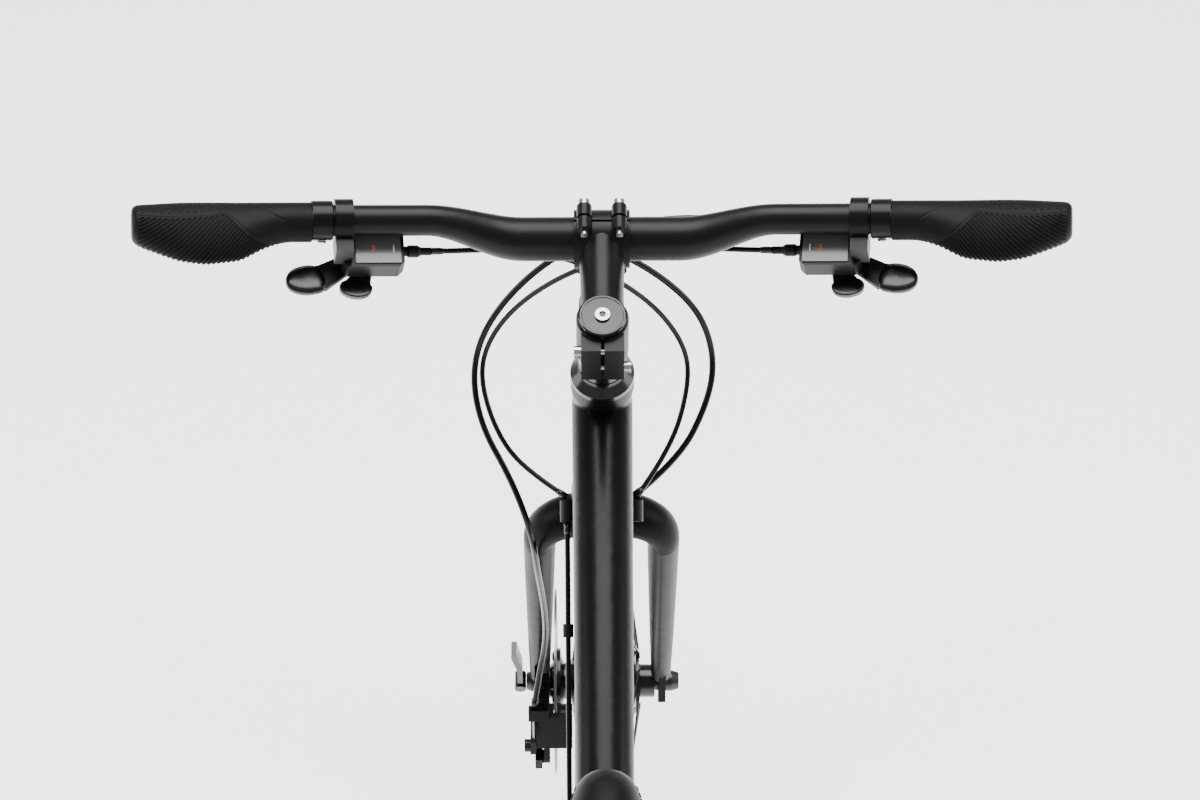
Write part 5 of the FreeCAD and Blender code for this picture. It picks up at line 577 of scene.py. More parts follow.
@dataclass
class Cables:
    """Brake and gear housings with end ferrules, and the bare wires at the calipers.

    Routes and wires are in millimetres, the rest in metres.
    """

    brake_radius: float = 2.5 * MM
    shift_radius: float = 2.0 * MM
    wire_radius: float = 0.8 * MM
    ferrule_length: float = 9.0 * MM
    ferrule_wall: float = 0.6 * MM
    ferrule_ring: int = 24
    mouth_share: float = 0.7
    neck_share: float = 0.94
    step_shares: tuple[float, float] = (0.75, 0.8)
    straight_step: float = 60.0 * MM
    held_at: Point = (0.335, 0.0, 0.752)
    turns_at: Point = (0.365, 0.0, 0.93)
    divided_before: int = 8
    divided_ends: dict[str, tuple[Point, Point]] = field(default_factory=lambda: {
        "upper": ((0.4, 0.0, 0.8), (0.38, 0.0, 0.95)), "lower": ((0.34, 0.0, 0.7), (0.36, 0.0, 0.61))})
    routes: dict[str, list[Point]] = field(default_factory=lambda: {
        "left_shift": [
            (348.02, 122.49, 948.79), (354, 98, 945), (366, 66, 937), (380, 30, 920), (391, -8, 893),
            (399, -42, 857), (400, -64, 818), (388, -66, 790), (352, -52, 758), (320.1, -25.3, 738.1)],
        "left_brake": [
            (369.17, 157.59, 961.93), (376, 126, 957), (388, 88, 948), (398, 44, 934), (405, 0, 912),
            (409, -42, 882), (409, -74, 846), (402, -86, 806), (382, -80, 778), (352, -58, 748),
            (334.2, -23.5, 727)],
        "right_shift": [
            (348.02, -122.49, 948.79), (354, -98, 945), (367, -62, 937), (382, -20, 921), (394, 24, 895),
            (402, 62, 860), (404, 86, 822), (392, 92, 792), (362, 76, 757), (340, 50, 742),
            (325.05, 26, 734.7)],
        "right_brake": [
            (369.17, -157.59, 961.93), (376, -126, 957), (388, -86, 948), (404, -40, 936), (413.5, 6, 914),
            (415, 50, 881), (409, 84, 840), (400, 98, 800), (376, 92, 764), (350, 68, 730), (328, 53, 695),
            (350.3, 50, 639.2), (382.8, 47, 581.7), (414.4, 45, 523.8), (438, 46, 473.8), (440, 51, 440.3),
            (429.6, 56.1, 409.4)],
        "rear_shift": [
            (312.6, 26, 721.1), (-30, 23.8, 343.3), (-58, 22.5, 296), (-80, 12, 254.5), (-112, -8, 251),
            (-150, -22, 262), (-200, -31, 276), (-440, -68, 316), (-480, -80, 314), (-530.2, -82, 317)],
        "rear_brake": [
            (-269.1, 40.9, 322.1), (-300, 48.5, 335), (-340, 57, 350), (-375, 65, 367),
            (-409.6, 69.3, 386.2)]})
    nodes: dict[str, tuple[str, str | None]] = field(default_factory=lambda: {
        "left_shift": ("control_cables", None), "left_brake": ("control_cables", None),
        "right_shift": ("control_cables", None), "right_brake": ("front_brake_cable", STEERING),
        "rear_shift": ("frame_cables", FRAME), "rear_brake": ("frame_cables", FRAME)})
    wires: dict[str, tuple[str, str, Point, Point]] = field(default_factory=lambda: {
        "front_brake_wire": (STEERING, "front_caliper_arm_body", (427.0, 56.6, 399.8), (420.8, 56.6, 374.5)),
        "rear_brake_wire": (FRAME, "rear_caliper_arm_body", (-418.3, 69.4, 391.2), (-441.0, 69.4, 403.8))})

    def build(self) -> None:
        """Make every housing, its ferrules and the caliper wires."""
        for name, (node, body) in self.nodes.items():
            points = [tuple(value * MM for value in spot) for spot in self.routes[name]]
            radius = self.shift_radius if "shift" in name else self.brake_radius
            if name == "rear_shift":
                points = self._held_straight(points)
            if name == "right_brake":
                self._front_brake(points, radius, node)
            else:
                item = self._housing(f"{name}_housing", points, radius, body)
                if body is None:
                    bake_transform(item)
                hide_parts(node)
            self._ferrules(name, points, radius, body)
        for name, (held, moved, start, end) in self.wires.items():
            ends = [Vector(spot) * MM for spot in (start, end)]
            middle = ends[0].lerp(ends[1], 0.5)
            mesh = tube(name, [tuple(ends[0]), tuple(middle), tuple(ends[1])], self.wire_radius)
            wire = piece(name, mesh, FINISHES.steel, None)
            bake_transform(wire)

    def _housing(self, name: str, points: list[Point], radius: float, body: str | None) -> bpy.types.Object:
        """Make one length of housing.

        Args:
            name: The piece's name.
            points: Its points.
            radius: Its radius.
            body: The body that it rides on, or None to leave it unattached.

        Returns:
            The piece.
        """
        return piece(name, tube(name, points, radius), FINISHES.housing, body)

    def _front_brake(self, points: list[Point], radius: float, node: str) -> None:
        """Make the front brake housing in two lengths that meet halfway between two of its points.

        Args:
            points: The housing's points.
            radius: Its radius.
            node: The plain housing that both replace.
        """
        cut = self.divided_before
        meeting = tuple(Vector(points[cut - 1]).lerp(Vector(points[cut]), 0.5))
        lengths = {"upper": points[:cut] + [meeting], "lower": [meeting] + points[cut:]}
        for label, route in lengths.items():
            item = self._housing(f"right_brake_housing_{label}", route, radius, None)
            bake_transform(item)
            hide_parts(node)

    def _held_straight(self, points: list[Point]) -> list[Point]:
        """Add points along the runs that clips hold straight.

        Args:
            points: The housing's points.

        Returns:
            The points with each long run divided.
        """
        route = [points[0]]
        for before, after in zip(points, points[1:]):
            start, end = Vector(before), Vector(after)
            steps = max(1, round((end - start).length / self.straight_step))
            route += [tuple(start.lerp(end, step / steps)) for step in range(1, steps + 1)]
        return route

    def _ferrules(self, name: str, points: list[Point], radius: float, body: str | None) -> None:
        """A thin glossy cap over each end of a housing.

        Args:
            name: The housing's name.
            points: Its points.
            radius: Its radius.
            body: The body that it rides on, or None for the unattached housings.
        """
        wide, long = radius + self.ferrule_wall, self.ferrule_length
        mouth, neck = radius * self.mouth_share, wide * self.neck_share
        step_from, step_to = (long * share for share in self.step_shares)
        outline = ((mouth, 0.0), (wide, 0.0), (wide, step_from), (neck, step_to), (neck, long),
                   (mouth, long))
        for end, first, second in (("start", points[0], points[1]), ("end", points[-1], points[-2])):
            owner = body or (STEERING if end == "start" else FRAME)
            axis = Vector(second) - Vector(first)
            label = f"{name}_ferrule_{end}"
            mesh = lathe(label, outline, Vector(first), axis, self.ferrule_ring)
            piece(label, mesh, FINISHES.gloss, owner)


@dataclass(frozen=True)
class BarEnd:
    """Outer end of the bar on the left, in millimetres, and the directions there."""

    base: Point = (321.14, 329.96, 996.48)
    forward: Point = (0.9904, 0.1376, 0.0145)
    up: Point = (0.0, -0.1045, 0.9945)
    inward: Point = (0.1384, -0.98495, -0.1035)


BAR_END = BarEnd()


def ramp(values: Grid, start: Grid | float, width: float) -> Grid:
    """Rise from 0 at the start to 1 over a width, towards lower values where the width is negative."""
    return np.clip((values - start) / width, 0.0, 1.0)


def ridge(values: Grid, place: Grid, width: float) -> Grid:
    """A smooth narrow hump of height 1 at a place."""
    return np.exp(-((values - place) / width) ** 2)


@dataclass
class GripRelief:
    """Pits, grooves and seam lines of a grip, in millimetres along it and degrees round it.

    Angles start at the wing's tip, 90 degrees being the top. The split runs along the grip,
    with ribs below it and pits above it, and the inner line runs round it where the ribs end.
    """

    half_thickness: float
    mean_depth: float = 22.0
    first_angle: float = -90.0
    full_turn: float = 360.0
    angle_step: float = 0.5
    seen_out: float = -21.5
    seen_over: float = 6.9
    split_length: float = 66.0
    split_start: float = 89.0
    split_slope: float = 0.364
    split_end: float = 113.0
    split_rise: float = 1.6
    inner_slope: float = 0.3
    dot_pitch: float = 5.2
    dot_row: float = 2.7
    dot_radius: float = 0.85
    dot_depth: float = 0.7
    dot_edge: float = 0.35
    dots_gap: float = 7.0
    dots_fade: float = 2.0
    dots_end: float = 168.0
    dots_end_fade: float = 4.0
    dots_from: float = 6.0
    dots_from_fade: float = 1.0
    rib_pitch: float = 3.5
    rib_depth: float = 0.8
    rib_lean: float = 0.96
    rib_level: float = 0.35
    rib_steepness: float = 1.7
    ribs_gap: float = 4.0
    ribs_fade: float = 2.0
    ribs_low: float = -72.0
    ribs_low_fade: float = 4.0
    ribs_inner_gap: float = 2.0
    ribs_inner_fade: float = 1.0
    ribs_from: float = 4.0
    ribs_from_fade: float = 1.5
    line_depth: float = 0.4
    line_from: float = 3.0
    line_spread: float = 1.6
    line_width: float = 0.6
    corner_low: float = -60.0
    seam_shift: float = 26.0
    seam_angles: tuple[float, float] = (66.0, 120.0)

    def heights(self, along: Grid, angle: Grid) -> Grid:
        """Return how far each point lies above the smooth form, never above 0.

        Args:
            along: Distance from the outer end for each point.
            angle: Angle from the wing's tip, in radians.

        Returns:
            Heights in millimetres.
        """
        turn = (np.degrees(angle) - self.first_angle) % self.full_turn + self.first_angle
        before = self.split_start + along * self.split_slope
        after = self.split_end + (along - self.split_length) * self.split_rise
        split = np.where(along < self.split_length, before, after)
        inner = self.split_length + (self.split_end - turn) * self.inner_slope
        lines = self.line_depth * self._lines(along, turn, split, inner)
        return -self._dots(along, turn, split) - self._grooves(along, turn, split, inner) - lines

    def _dots(self, along: Grid, turn: Grid, split: Grid) -> Grid:
        """Depth of the staggered rows of pits above the split."""
        steps = round(self.full_turn / self.angle_step)
        around = np.linspace(self.first_angle, self.first_angle + self.full_turn, steps + 1)
        speed = np.hypot(self.mean_depth * np.sin(np.radians(around)),
                         self.half_thickness * np.cos(np.radians(around)))
        arc = np.interp(turn, around, np.cumsum(speed) * math.radians(self.angle_step))
        row = np.floor(arc / self.dot_row)
        u = (along + 0.5 * self.dot_pitch * (row % 2)) % self.dot_pitch - self.dot_pitch / 2
        v = arc - (row + 0.5) * self.dot_row
        dots = ramp(np.hypot(u, v), self.dot_radius, -self.dot_edge) * self.dot_depth
        first = ramp(turn, split + self.dots_gap, self.dots_fade)
        last = ramp(turn, self.dots_end, -self.dots_end_fade)
        return dots * first * last * ramp(along, self.dots_from, self.dots_from_fade)

    def _grooves(self, along: Grid, turn: Grid, split: Grid, inner: Grid) -> Grid:
        """Depth of the slanted grooves between the ribs of the palm wing."""
        seen = self.seen_out * np.cos(np.radians(turn)) + self.seen_over * np.sin(np.radians(turn))
        wave = np.sin((along - self.rib_lean * seen) / self.rib_pitch * math.tau)
        grooves = np.clip(self.rib_level - wave * self.rib_steepness, 0.0, 1.0) * self.rib_depth
        above = ramp(turn, split - self.ribs_gap, -self.ribs_fade)
        below = ramp(turn, self.ribs_low, self.ribs_low_fade)
        reach = ramp(along, inner - self.ribs_inner_gap, -self.ribs_inner_fade)
        return grooves * above * below * reach * ramp(along, self.ribs_from, self.ribs_from_fade)

    def _lines(self, along: Grid, turn: Grid, split: Grid, inner: Grid) -> Grid:
        """Share of the line depth on the split, on the inner line and on the seam past it."""
        low, high = self.seam_angles
        line = ridge(turn, split, self.line_spread) * (along < self.split_length) * (along > self.line_from)
        corner = ridge(along, inner, self.line_width) * (turn < self.split_end) * (turn > self.corner_low)
        seam = ridge(along, inner + self.seam_shift, self.line_width) * (turn < high) * (turn > low)
        return np.maximum(np.maximum(line, corner), seam)


@dataclass
class Grips:
    """Winged grips with rows of pits above, slanted ribs on the palm wing and a smooth inner end."""

    length: float = 126.0
    wing_depth: float = 25.0
    half_thickness: float = 13.5
    tilt: float = 20.0
    rows: int = 300
    ring: int = 300
    blur_rows: int = 25
    edge_length: float = 5.0
    edge_share: float = 0.72
    thinning: float = 0.12
    places: tuple[float, ...] = (0.0, 0.03, 0.25, 0.4, 0.6, 0.73, 0.85, 1.0)
    depths: tuple[float, ...] = (0.5, 0.62, 0.93, 1.0, 0.93, 0.71, 0.585, 0.585)
    backs: tuple[float, ...] = (0.1, 0.17, 0.38, 0.436, 0.38, 0.176, 0.064, 0.064)

    def build(self) -> None:
        """Make both grips and put them in place of the plain ones."""
        points = self._points()
        faces = skin(self.rows, self.ring)
        for side in Side:
            verts = points * np.array((1.0, side.value, 1.0))
            name = f"grip_{side.label}"
            item = piece(name, mesh_from(name, verts, faces), FINISHES.rubber, STEERING)
            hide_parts("grips")

    def _smooth_rows(self, along: Grid, values: tuple[float, ...]) -> Grid:
        """Interpolate one row of shares along the grip and round its corners.

        Args:
            along: Shares of the length.
            values: Values at the places.

        Returns:
            One value for each share.
        """
        width = self.blur_rows
        rough = np.interp(along, self.places, values)
        padded = np.concatenate([np.full(width, rough[0]), rough, np.full(width, rough[-1])])
        kernel = np.hanning(2 * width + 1)
        return np.convolve(padded, kernel / kernel.sum(), mode="valid")

    def _points(self) -> Grid:
        """Return the left grip's points, row after row, in metres."""
        share = np.linspace(0.0, 1.0, self.rows)
        along = share * self.length
        deep = self._smooth_rows(share, self.depths) * self.wing_depth
        back = self._smooth_rows(share, self.backs) * self.wing_depth
        edge = ramp(along, 0.0, self.edge_length)
        rounding = self.edge_share + (1.0 - self.edge_share) * np.sqrt(1.0 - (1.0 - edge) ** 2)
        angle = np.linspace(0.0, math.tau, self.ring, endpoint=False)
        grid_s, grid_a = np.meshgrid(along, angle, indexing="ij")
        thick = np.minimum(self.half_thickness, deep)
        out = (np.cos(grid_a) * deep[:, None]) * rounding[:, None]
        thin = 1.0 - self.thinning * np.clip(np.cos(grid_a), 0.0, 1.0) ** 2
        over = np.sin(grid_a) * (thick * rounding)[:, None] * thin
        slope_out = np.cos(grid_a) / deep[:, None]
        slope_over = np.sin(grid_a) / thick[:, None]
        size = np.hypot(slope_out, slope_over)
        relief = GripRelief(self.half_thickness).heights(grid_s, grid_a)
        out = out + back[:, None] + relief * slope_out / size
        over = over + relief * slope_over / size
        lean = math.radians(self.tilt)
        x = -out * math.cos(lean) - over * math.sin(lean)
        y = -out * math.sin(lean) + over * math.cos(lean)
        axes = np.array((BAR_END.forward, BAR_END.up, BAR_END.inward))
        local = np.stack([x, y, grid_s], axis=-1).reshape(-1, 3)
        return (np.array(BAR_END.base) + local @ axes) * MM


@dataclass
class Saddle:
    """Padded saddle: a swollen cover over the plain form, with a row of stitches along each side."""

    weld_distance: float = 1e-5
    voxel: float = 4.5 * MM
    soften_factor: float = 0.5
    soften_rounds: int = 12
    held_band: float = 12.0 * MM
    most: float = 6.0 * MM
    pressure: float = 4.0
    cloth_quality: int = 6
    cloth_mass: float = 0.3
    frames: int = 20
    stitch_count: int = 46
    stitch_length: float = 4.2 * MM
    stitch_radius: float = 0.45 * MM
    stitch_lift: float = 0.3 * MM
    seam_from_share: float = 0.03
    seam_run_share: float = 0.93
    seam_height_share: float = 0.5
    probe_reach: float = 0.2
    fewest_stitches: int = 4

    def build(self) -> None:
        """Make the cover and its seams in place of the plain saddle."""
        cover = self._cover(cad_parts["saddle"])
        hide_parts("saddle")
        self._seams(cover)

    def _cover(self, plain: bpy.types.Object) -> bpy.types.Object:
        """Swell a remeshed copy of the plain saddle.

        Args:
            plain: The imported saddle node.

        Returns:
            The cover.
        """
        mesh = plain.data.copy()
        weld(mesh, self.weld_distance)
        cover = piece("saddle_cover", mesh, FINISHES.cover, SEAT)
        remesh = cover.modifiers.new("remesh", "REMESH")
        remesh.mode = "VOXEL"
        remesh.voxel_size = self.voxel
        self._apply(cover)
        soften = cover.modifiers.new("soften", "SMOOTH")
        soften.factor = self.soften_factor
        soften.iterations = self.soften_rounds
        self._apply(cover)
        self._swell(cover)
        finer = cover.modifiers.new("finer", "SUBSURF")
        finer.levels = 1
        self._apply(cover)
        coat(cover.data, FINISHES.cover)
        shade_smooth(cover.data)
        return cover

    def _swell(self, cover: bpy.types.Object) -> None:
        """Blow the remeshed cover up a little as cloth, its underside held."""
        rest = [vert.co.copy() for vert in cover.data.vertices]
        band = min(place.z for place in rest) + self.held_band
        held = cover.vertex_groups.new(name="held")
        held.add([number for number, place in enumerate(rest) if place.z < band], 1.0, "REPLACE")
        cloth = cover.modifiers.new("cloth", "CLOTH")
        cloth.settings.quality = self.cloth_quality
        cloth.settings.mass = self.cloth_mass
        cloth.settings.use_pressure = True
        cloth.settings.uniform_pressure_force = self.pressure
        cloth.settings.effector_weights.gravity = 0.0
        cloth.settings.vertex_group_mass = "held"
        cloth.point_cache.frame_start = 1
        cloth.point_cache.frame_end = self.frames
        scene = bpy.context.scene
        for number in range(1, self.frames + 1):
            scene.frame_set(number)
        self._apply(cover)
        scene.frame_set(1)
        for vert, before in zip(cover.data.vertices, rest):
            move = vert.co - before
            if move.length > self.most:
                vert.co = before + move.normalized() * self.most

    def _apply(self, item: bpy.types.Object) -> None:
        """Turn an object's modifiers into its mesh."""
        mesh = evaluated_mesh(item)
        item.modifiers.clear()
        item.data = mesh

    def _seams(self, cover: bpy.types.Object) -> None:
        """Find the places of a row of stitches along each side and lay them.

        Args:
            cover: The finished cover.
        """
        low, high = Vector(cover.bound_box[0]), Vector(cover.bound_box[6])
        size = high - low
        height = low.z + size.z * self.seam_height_share
        bpy.context.view_layer.update()
        for side in Side:
            spots = []
            for number in range(self.stitch_count):
                share = (number + 0.5) / self.stitch_count
                x = low.x + size.x * (self.seam_from_share + self.seam_run_share * share)
                probe = Vector((x, side.value * self.probe_reach, height))
                found, place, normal, _ = cover.ray_cast(probe, Vector((0, -side.value, 0)))
                if found:
                    spots.append((place, normal))
            if len(spots) >= self.fewest_stitches:
                self._stitches(f"saddle_stitches_{side.label}", spots)

    def _stitches(self, name: str, spots: list[tuple[Vector, Vector]]) -> None:
        """Place one stitch on each spot with Geometry Nodes.

        Args:
            name: The piece's name.
            spots: Places on the cover and the normals there.
        """
        carrier = bpy.data.meshes.new(name + "_spots")
        carrier.from_pydata([tuple(place + normal * self.stitch_lift) for place, normal in spots], [], [])
        along = carrier.attributes.new("along", "FLOAT_VECTOR", "POINT")
        for number in range(len(spots)):
            before, after = spots[max(number - 1, 0)][0], spots[min(number + 1, len(spots) - 1)][0]
            along.data[number].vector = (after - before).normalized()
        stitches = Repeater("stitch_repeat", FINISHES.thread, self.stitch_radius, self.stitch_length)
        piece(name, stitches.spread(carrier, "along"), FINISHES.thread, SEAT)


@dataclass
class Repeater:
    """Geometry Nodes tree that stands one small rod on every point of a mesh."""

    name: str
    finish: Finish
    radius: float
    length: float
    rod_sides: int = 10

    def _tree(self) -> bpy.types.NodeTree:
        """Return the tree, built once."""
        found = bpy.data.node_groups.get(self.name)
        if found:
            return found
        tree = bpy.data.node_groups.new(self.name, "GeometryNodeTree")
        group_socket(tree, "Geometry", "Geometry", True)
        group_socket(tree, "Direction", "Vector", True)
        group_socket(tree, "Radius", "Float", True, self.radius)
        group_socket(tree, "Length", "Float", True, self.length)
        group_socket(tree, "Material", "Material", True)
        group_socket(tree, "Geometry", "Geometry", False)
        nodes, links = tree.nodes, tree.links
        source = nodes.new("NodeGroupInput")
        result = nodes.new("NodeGroupOutput")
        rod = nodes.new("GeometryNodeMeshCylinder")
        rod.inputs["Vertices"].default_value = self.rod_sides
        links.new(source.outputs["Radius"], rod.inputs["Radius"])
        links.new(source.outputs["Length"], rod.inputs["Depth"])
        aim = nodes.new("FunctionNodeAlignRotationToVector")
        aim.axis = "Z"
        links.new(source.outputs["Direction"], aim.inputs["Vector"])
        stand = nodes.new("GeometryNodeInstanceOnPoints")
        links.new(source.outputs["Geometry"], stand.inputs["Points"])
        links.new(rod.outputs["Mesh"], stand.inputs["Instance"])
        links.new(aim.outputs["Rotation"], stand.inputs["Rotation"])
        real = nodes.new("GeometryNodeRealizeInstances")
        links.new(stand.outputs["Instances"], real.inputs["Geometry"])
        paint = nodes.new("GeometryNodeSetMaterial")
        links.new(real.outputs["Geometry"], paint.inputs["Geometry"])
        links.new(source.outputs["Material"], paint.inputs["Material"])
        links.new(paint.outputs["Geometry"], result.inputs["Geometry"])
        return tree

    def spread(self, carrier: bpy.types.Mesh, attribute: str) -> bpy.types.Mesh:
        """Stand the rods on a carrier's points.

        Args:
            carrier: Mesh whose points carry the rods.
            attribute: Its vector attribute with each rod's direction.

        Returns:
            One mesh with every rod.
        """
        holder = bpy.data.objects.new(self.name + "_carrier", carrier)
        bpy.context.scene.collection.objects.link(holder)
        tree = self._tree()
        modifier = holder.modifiers.new(self.name, "NODES")
        modifier.node_group = tree
        names = {item.name: item.identifier for item in tree.interface.items_tree if item.in_out == "INPUT"}
        modifier[names["Direction"] + "_use_attribute"] = True
        modifier[names["Direction"] + "_attribute_name"] = attribute
        modifier[names["Radius"]] = self.radius
        modifier[names["Length"]] = self.length
        modifier[names["Material"]] = self.finish.material()
        mesh = evaluated_mesh(holder)
        bpy.data.objects.remove(holder)
        return mesh


@dataclass(frozen=True)
class Socket:
    """A hex socket in the head of one bolt, in millimetres, drawn as a dark plate of painted shade."""

    name: str
    place: Point
    axis: Point
    body: str
    radius: float = 2.4
    rim_height: float = 0.12
    floor_height: float = 0.02
    rim_share: float = 0.82
    floor_share: float = 0.8
    sides: int = 6

    def build(self) -> None:
        """Show the recess as a thin dark plate of painted shade on the head, six-sided and dished."""
        rim, floor = self.radius * self.rim_share, self.radius * self.floor_share
        outline = in_metres(((self.radius, 0.0), (self.radius, self.rim_height), (rim, self.rim_height),
                             (floor, self.floor_height)))
        mesh = lathe(self.name, outline, Vector(self.place) * MM, Vector(self.axis), self.sides)
        # The gloss black plate is painted shade where the hex recess would be deep.
        piece(self.name, mesh, FINISHES.gloss, self.body, smooth=False)


@dataclass(frozen=True)
class ThumbPad:
    """A rounded glossy end over one plain thumb lever, on both sides of the bar, in millimetres."""

    name: str
    lever: str
    outline: tuple[Point, ...]
    spread: float
    swell: float
    power: float = 0.5
    thickness: float = 5.0
    normal: Point = (-0.4185, -0.1529, 0.8952)
    rows: int = 29
    rounds: int = 4
    corner_share: float = 0.25
    last_angle: float = 88.0

    def build(self) -> None:
        """Make the left end and its mirrored twin."""
        points = self._points()
        faces = skin(self.rows, len(points) // self.rows)
        for side in Side:
            name = f"{self.name}_{side.label}"
            mesh = mesh_from(name, points * np.array((1.0, side.value, 1.0)), faces)
            piece(name, mesh, FINISHES.gloss, f"{self.lever}_{side.label}_body")

    def _points(self) -> Grid:
        """Return rows of points from the underside to the top, in metres."""
        loop = np.array(self.outline)
        middle = loop.mean(axis=0)
        near, far = 1.0 - self.corner_share, self.corner_share
        for _ in range(self.rounds):
            ahead = np.roll(loop, -1, axis=0)
            loop = np.stack([loop * near + ahead * far, loop * far + ahead * near], axis=1).reshape(-1, 3)
        away = loop - middle
        away = away * (1.0 + self.spread / np.linalg.norm(away, axis=1, keepdims=True))
        normal = np.array(self.normal)
        angle = np.radians(np.linspace(-self.last_angle, self.last_angle, self.rows))
        width = np.cos(angle) ** self.power
        height = np.sign(angle) * np.abs(np.sin(angle)) ** self.power * (self.thickness / 2 + self.swell)
        base = middle - normal * self.thickness / 2
        points = base + width[:, None, None] * away + height[:, None, None] * normal
        return points.reshape(-1, 3) * MM


@dataclass
class Cockpit:
    """Small fittings in millimetres: bolt sockets drawn as painted shade, thumb ends, collar bolts, cap ring
    and window marks.
    """

    collar_place: float = 133.5
    collar_radius: float = 15.0
    bolt_radius: float = 3.2
    bolt_height: float = 1.6
    bolt_sink: float = 0.6
    bolt_down: float = 0.77
    bolt_back: float = 0.64
    bolt_shares: Outline = ((1.0, 0.0), (1.0, 0.8), (0.85, 1.0), (0.5, 1.0), (0.5, 0.5))
    bolt_ring: int = 24
    digits: dict[Side, str] = field(default_factory=lambda: {Side.LEFT: "2", Side.RIGHT: "5"})
    digit_size: float = 7.0
    digit_shift: float = -3.5
    digit_thickness: float = 0.05
    digit_lift: float = 0.08
    tick_half: tuple[float, float] = (0.4, 3.0)
    tick_heights: tuple[float, float] = (0.03, 0.25)
    tick_shift: float = 11.0
    window_left: Point = (336.34, 159.03, 959.84)
    window_ahead: Point = (0.8976, 0.0806, 0.4334)
    cap_place: Point = (264.94, 0.0, 954.96)
    cap_axis: Point = (-0.3256, 0.0, 0.9455)
    cap_outline: Outline = ((14.2, -0.9), (16.9, -0.9), (16.9, 0.1), (15.6, 0.9), (14.2, 0.5))
    cap_ring: int = 64
    stem_rows: dict[str, tuple[float, float]] = field(default_factory=lambda: {
        "upper": (364.36, 980.62), "lower": (376.26, 936.19)})
    stem_half: float = 12.5
    stem_axis: Point = (0.966, 0.0, 0.259)
    # Each socket is a dark plate of painted shade in a bolt head's hex recess.
    sockets: tuple[Socket, ...] = (
        Socket("clamp_socket_low", (256.15, -20.0, 915.97), (0.0, -1.0, 0.0), STEERING),
        Socket("clamp_socket_high", (249.64, 20.0, 934.88), (0.0, 1.0, 0.0), STEERING),
        Socket("cap_socket", (264.57, 0.0, 956.05), cap_axis, STEERING, 2.75),
        Socket("seat_socket", (-253.07, 13.25, 736.35), (0.0, 1.0, 0.0), FRAME))
    pads: tuple[ThumbPad, ...] = (
        ThumbPad("thumb_pad", "shift_paddle", (
            (319.0, 195.7, 938.3), (314.7, 209.2, 938.6), (315.5, 220.5, 940.9), (322.1, 223.9, 944.6),
            (329.9, 219.0, 947.4), (334.5, 202.6, 946.8)), 2.0, 1.3),
        ThumbPad("release_pad", "release_lever", (
            (331.5, 165.3, 932.9), (324.7, 165.6, 929.8), (321.2, 172.9, 929.5), (322.1, 184.0, 931.8),
            (326.7, 186.6, 934.3), (331.5, 182.5, 935.9)), 1.6, 0.28, power=0.2))

    def build(self) -> None:
        """Make every small fitting."""
        for row, (x, z) in self.stem_rows.items():
            for side in Side:
                place = (x, side.value * self.stem_half, z)
                Socket(f"stem_socket_{row}_{side.label}", place, self.stem_axis, STEERING).build()
        for fitting in (*self.sockets, *self.pads):
            fitting.build()
        self._cap_ring()
        for side in Side:
            self._collar_bolt(side)
            self._window(side)

    def _cap_ring(self) -> None:
        """A glossy bevelled edge round the top cap."""
        place, axis = Vector(self.cap_place) * MM, Vector(self.cap_axis)
        mesh = lathe("cap_ring", in_metres(self.cap_outline), place, axis, self.cap_ring)
        piece("cap_ring", mesh, FINISHES.gloss, STEERING)

    def _collar_bolt(self, side: Side) -> None:
        """A bolt head with its socket on the grip's collar.

        Args:
            side: Which bar end.
        """
        base, ahead, up, inward = (Vector((x, y * side.value, z)) for x, y, z in (
            BAR_END.base, BAR_END.forward, BAR_END.up, BAR_END.inward))
        axis = (up * -self.bolt_down - ahead * self.bolt_back).normalized()
        foot = base + inward * self.collar_place + axis * (self.collar_radius - self.bolt_sink)
        wide, high = self.bolt_radius, self.bolt_height
        outline = in_metres(tuple((wide * across, high * up) for across, up in self.bolt_shares))
        label = f"collar_bolt_{side.label}"
        mesh = lathe(label, outline, foot * MM, axis, self.bolt_ring)
        piece(label, mesh, FINISHES.bolt, STEERING)

    def _window(self, side: Side) -> None:
        """The gear digit and the end tick on one gear window.

        Args:
            side: Which pod.
        """
        flip = side.value
        mirror = Vector((1.0, flip, 1.0))
        middle = Vector(self.window_left) * mirror * MM
        across = Vector(BAR_END.inward) * mirror * flip
        ahead = Vector(self.window_ahead) * mirror
        face = across.cross(ahead)
        turn = Matrix((across, ahead, face)).transposed().to_4x4()
        self._digit(side, turn, middle + (face * self.digit_lift + across * self.digit_shift) * MM)
        wide, long = self.tick_half
        corners = ((-wide, -long), (wide, -long), (wide, long), (-wide, long))
        spots = [(x + self.tick_shift * flip, y, z) for z in self.tick_heights for x, y in corners]
        verts = np.array([middle + (across * x + ahead * y + face * z) * MM for x, y, z in spots])
        label = f"window_tick_{side.label}"
        piece(label, mesh_from(label, verts, BOX_FACES), FINISHES.tick, STEERING, smooth=False)

    def _digit(self, side: Side, turn: Matrix, place: Vector) -> None:
        """The gear digit of one window.

        Args:
            side: Which pod.
            turn: The window's directions.
            place: The digit's middle.
        """
        font = bpy.data.curves.new("window_digits", "FONT")
        font.body = self.digits[side]
        font.size = self.digit_size * MM
        font.align_x = "CENTER"
        font.align_y = "CENTER"
        font.extrude = self.digit_thickness * MM
        mesh = mesh_of_curve("window_digits", font)
        mesh.transform(Matrix.Translation(place) @ turn)
        piece(f"window_digits_{side.label}", mesh, FINISHES.dial, STEERING, smooth=False)


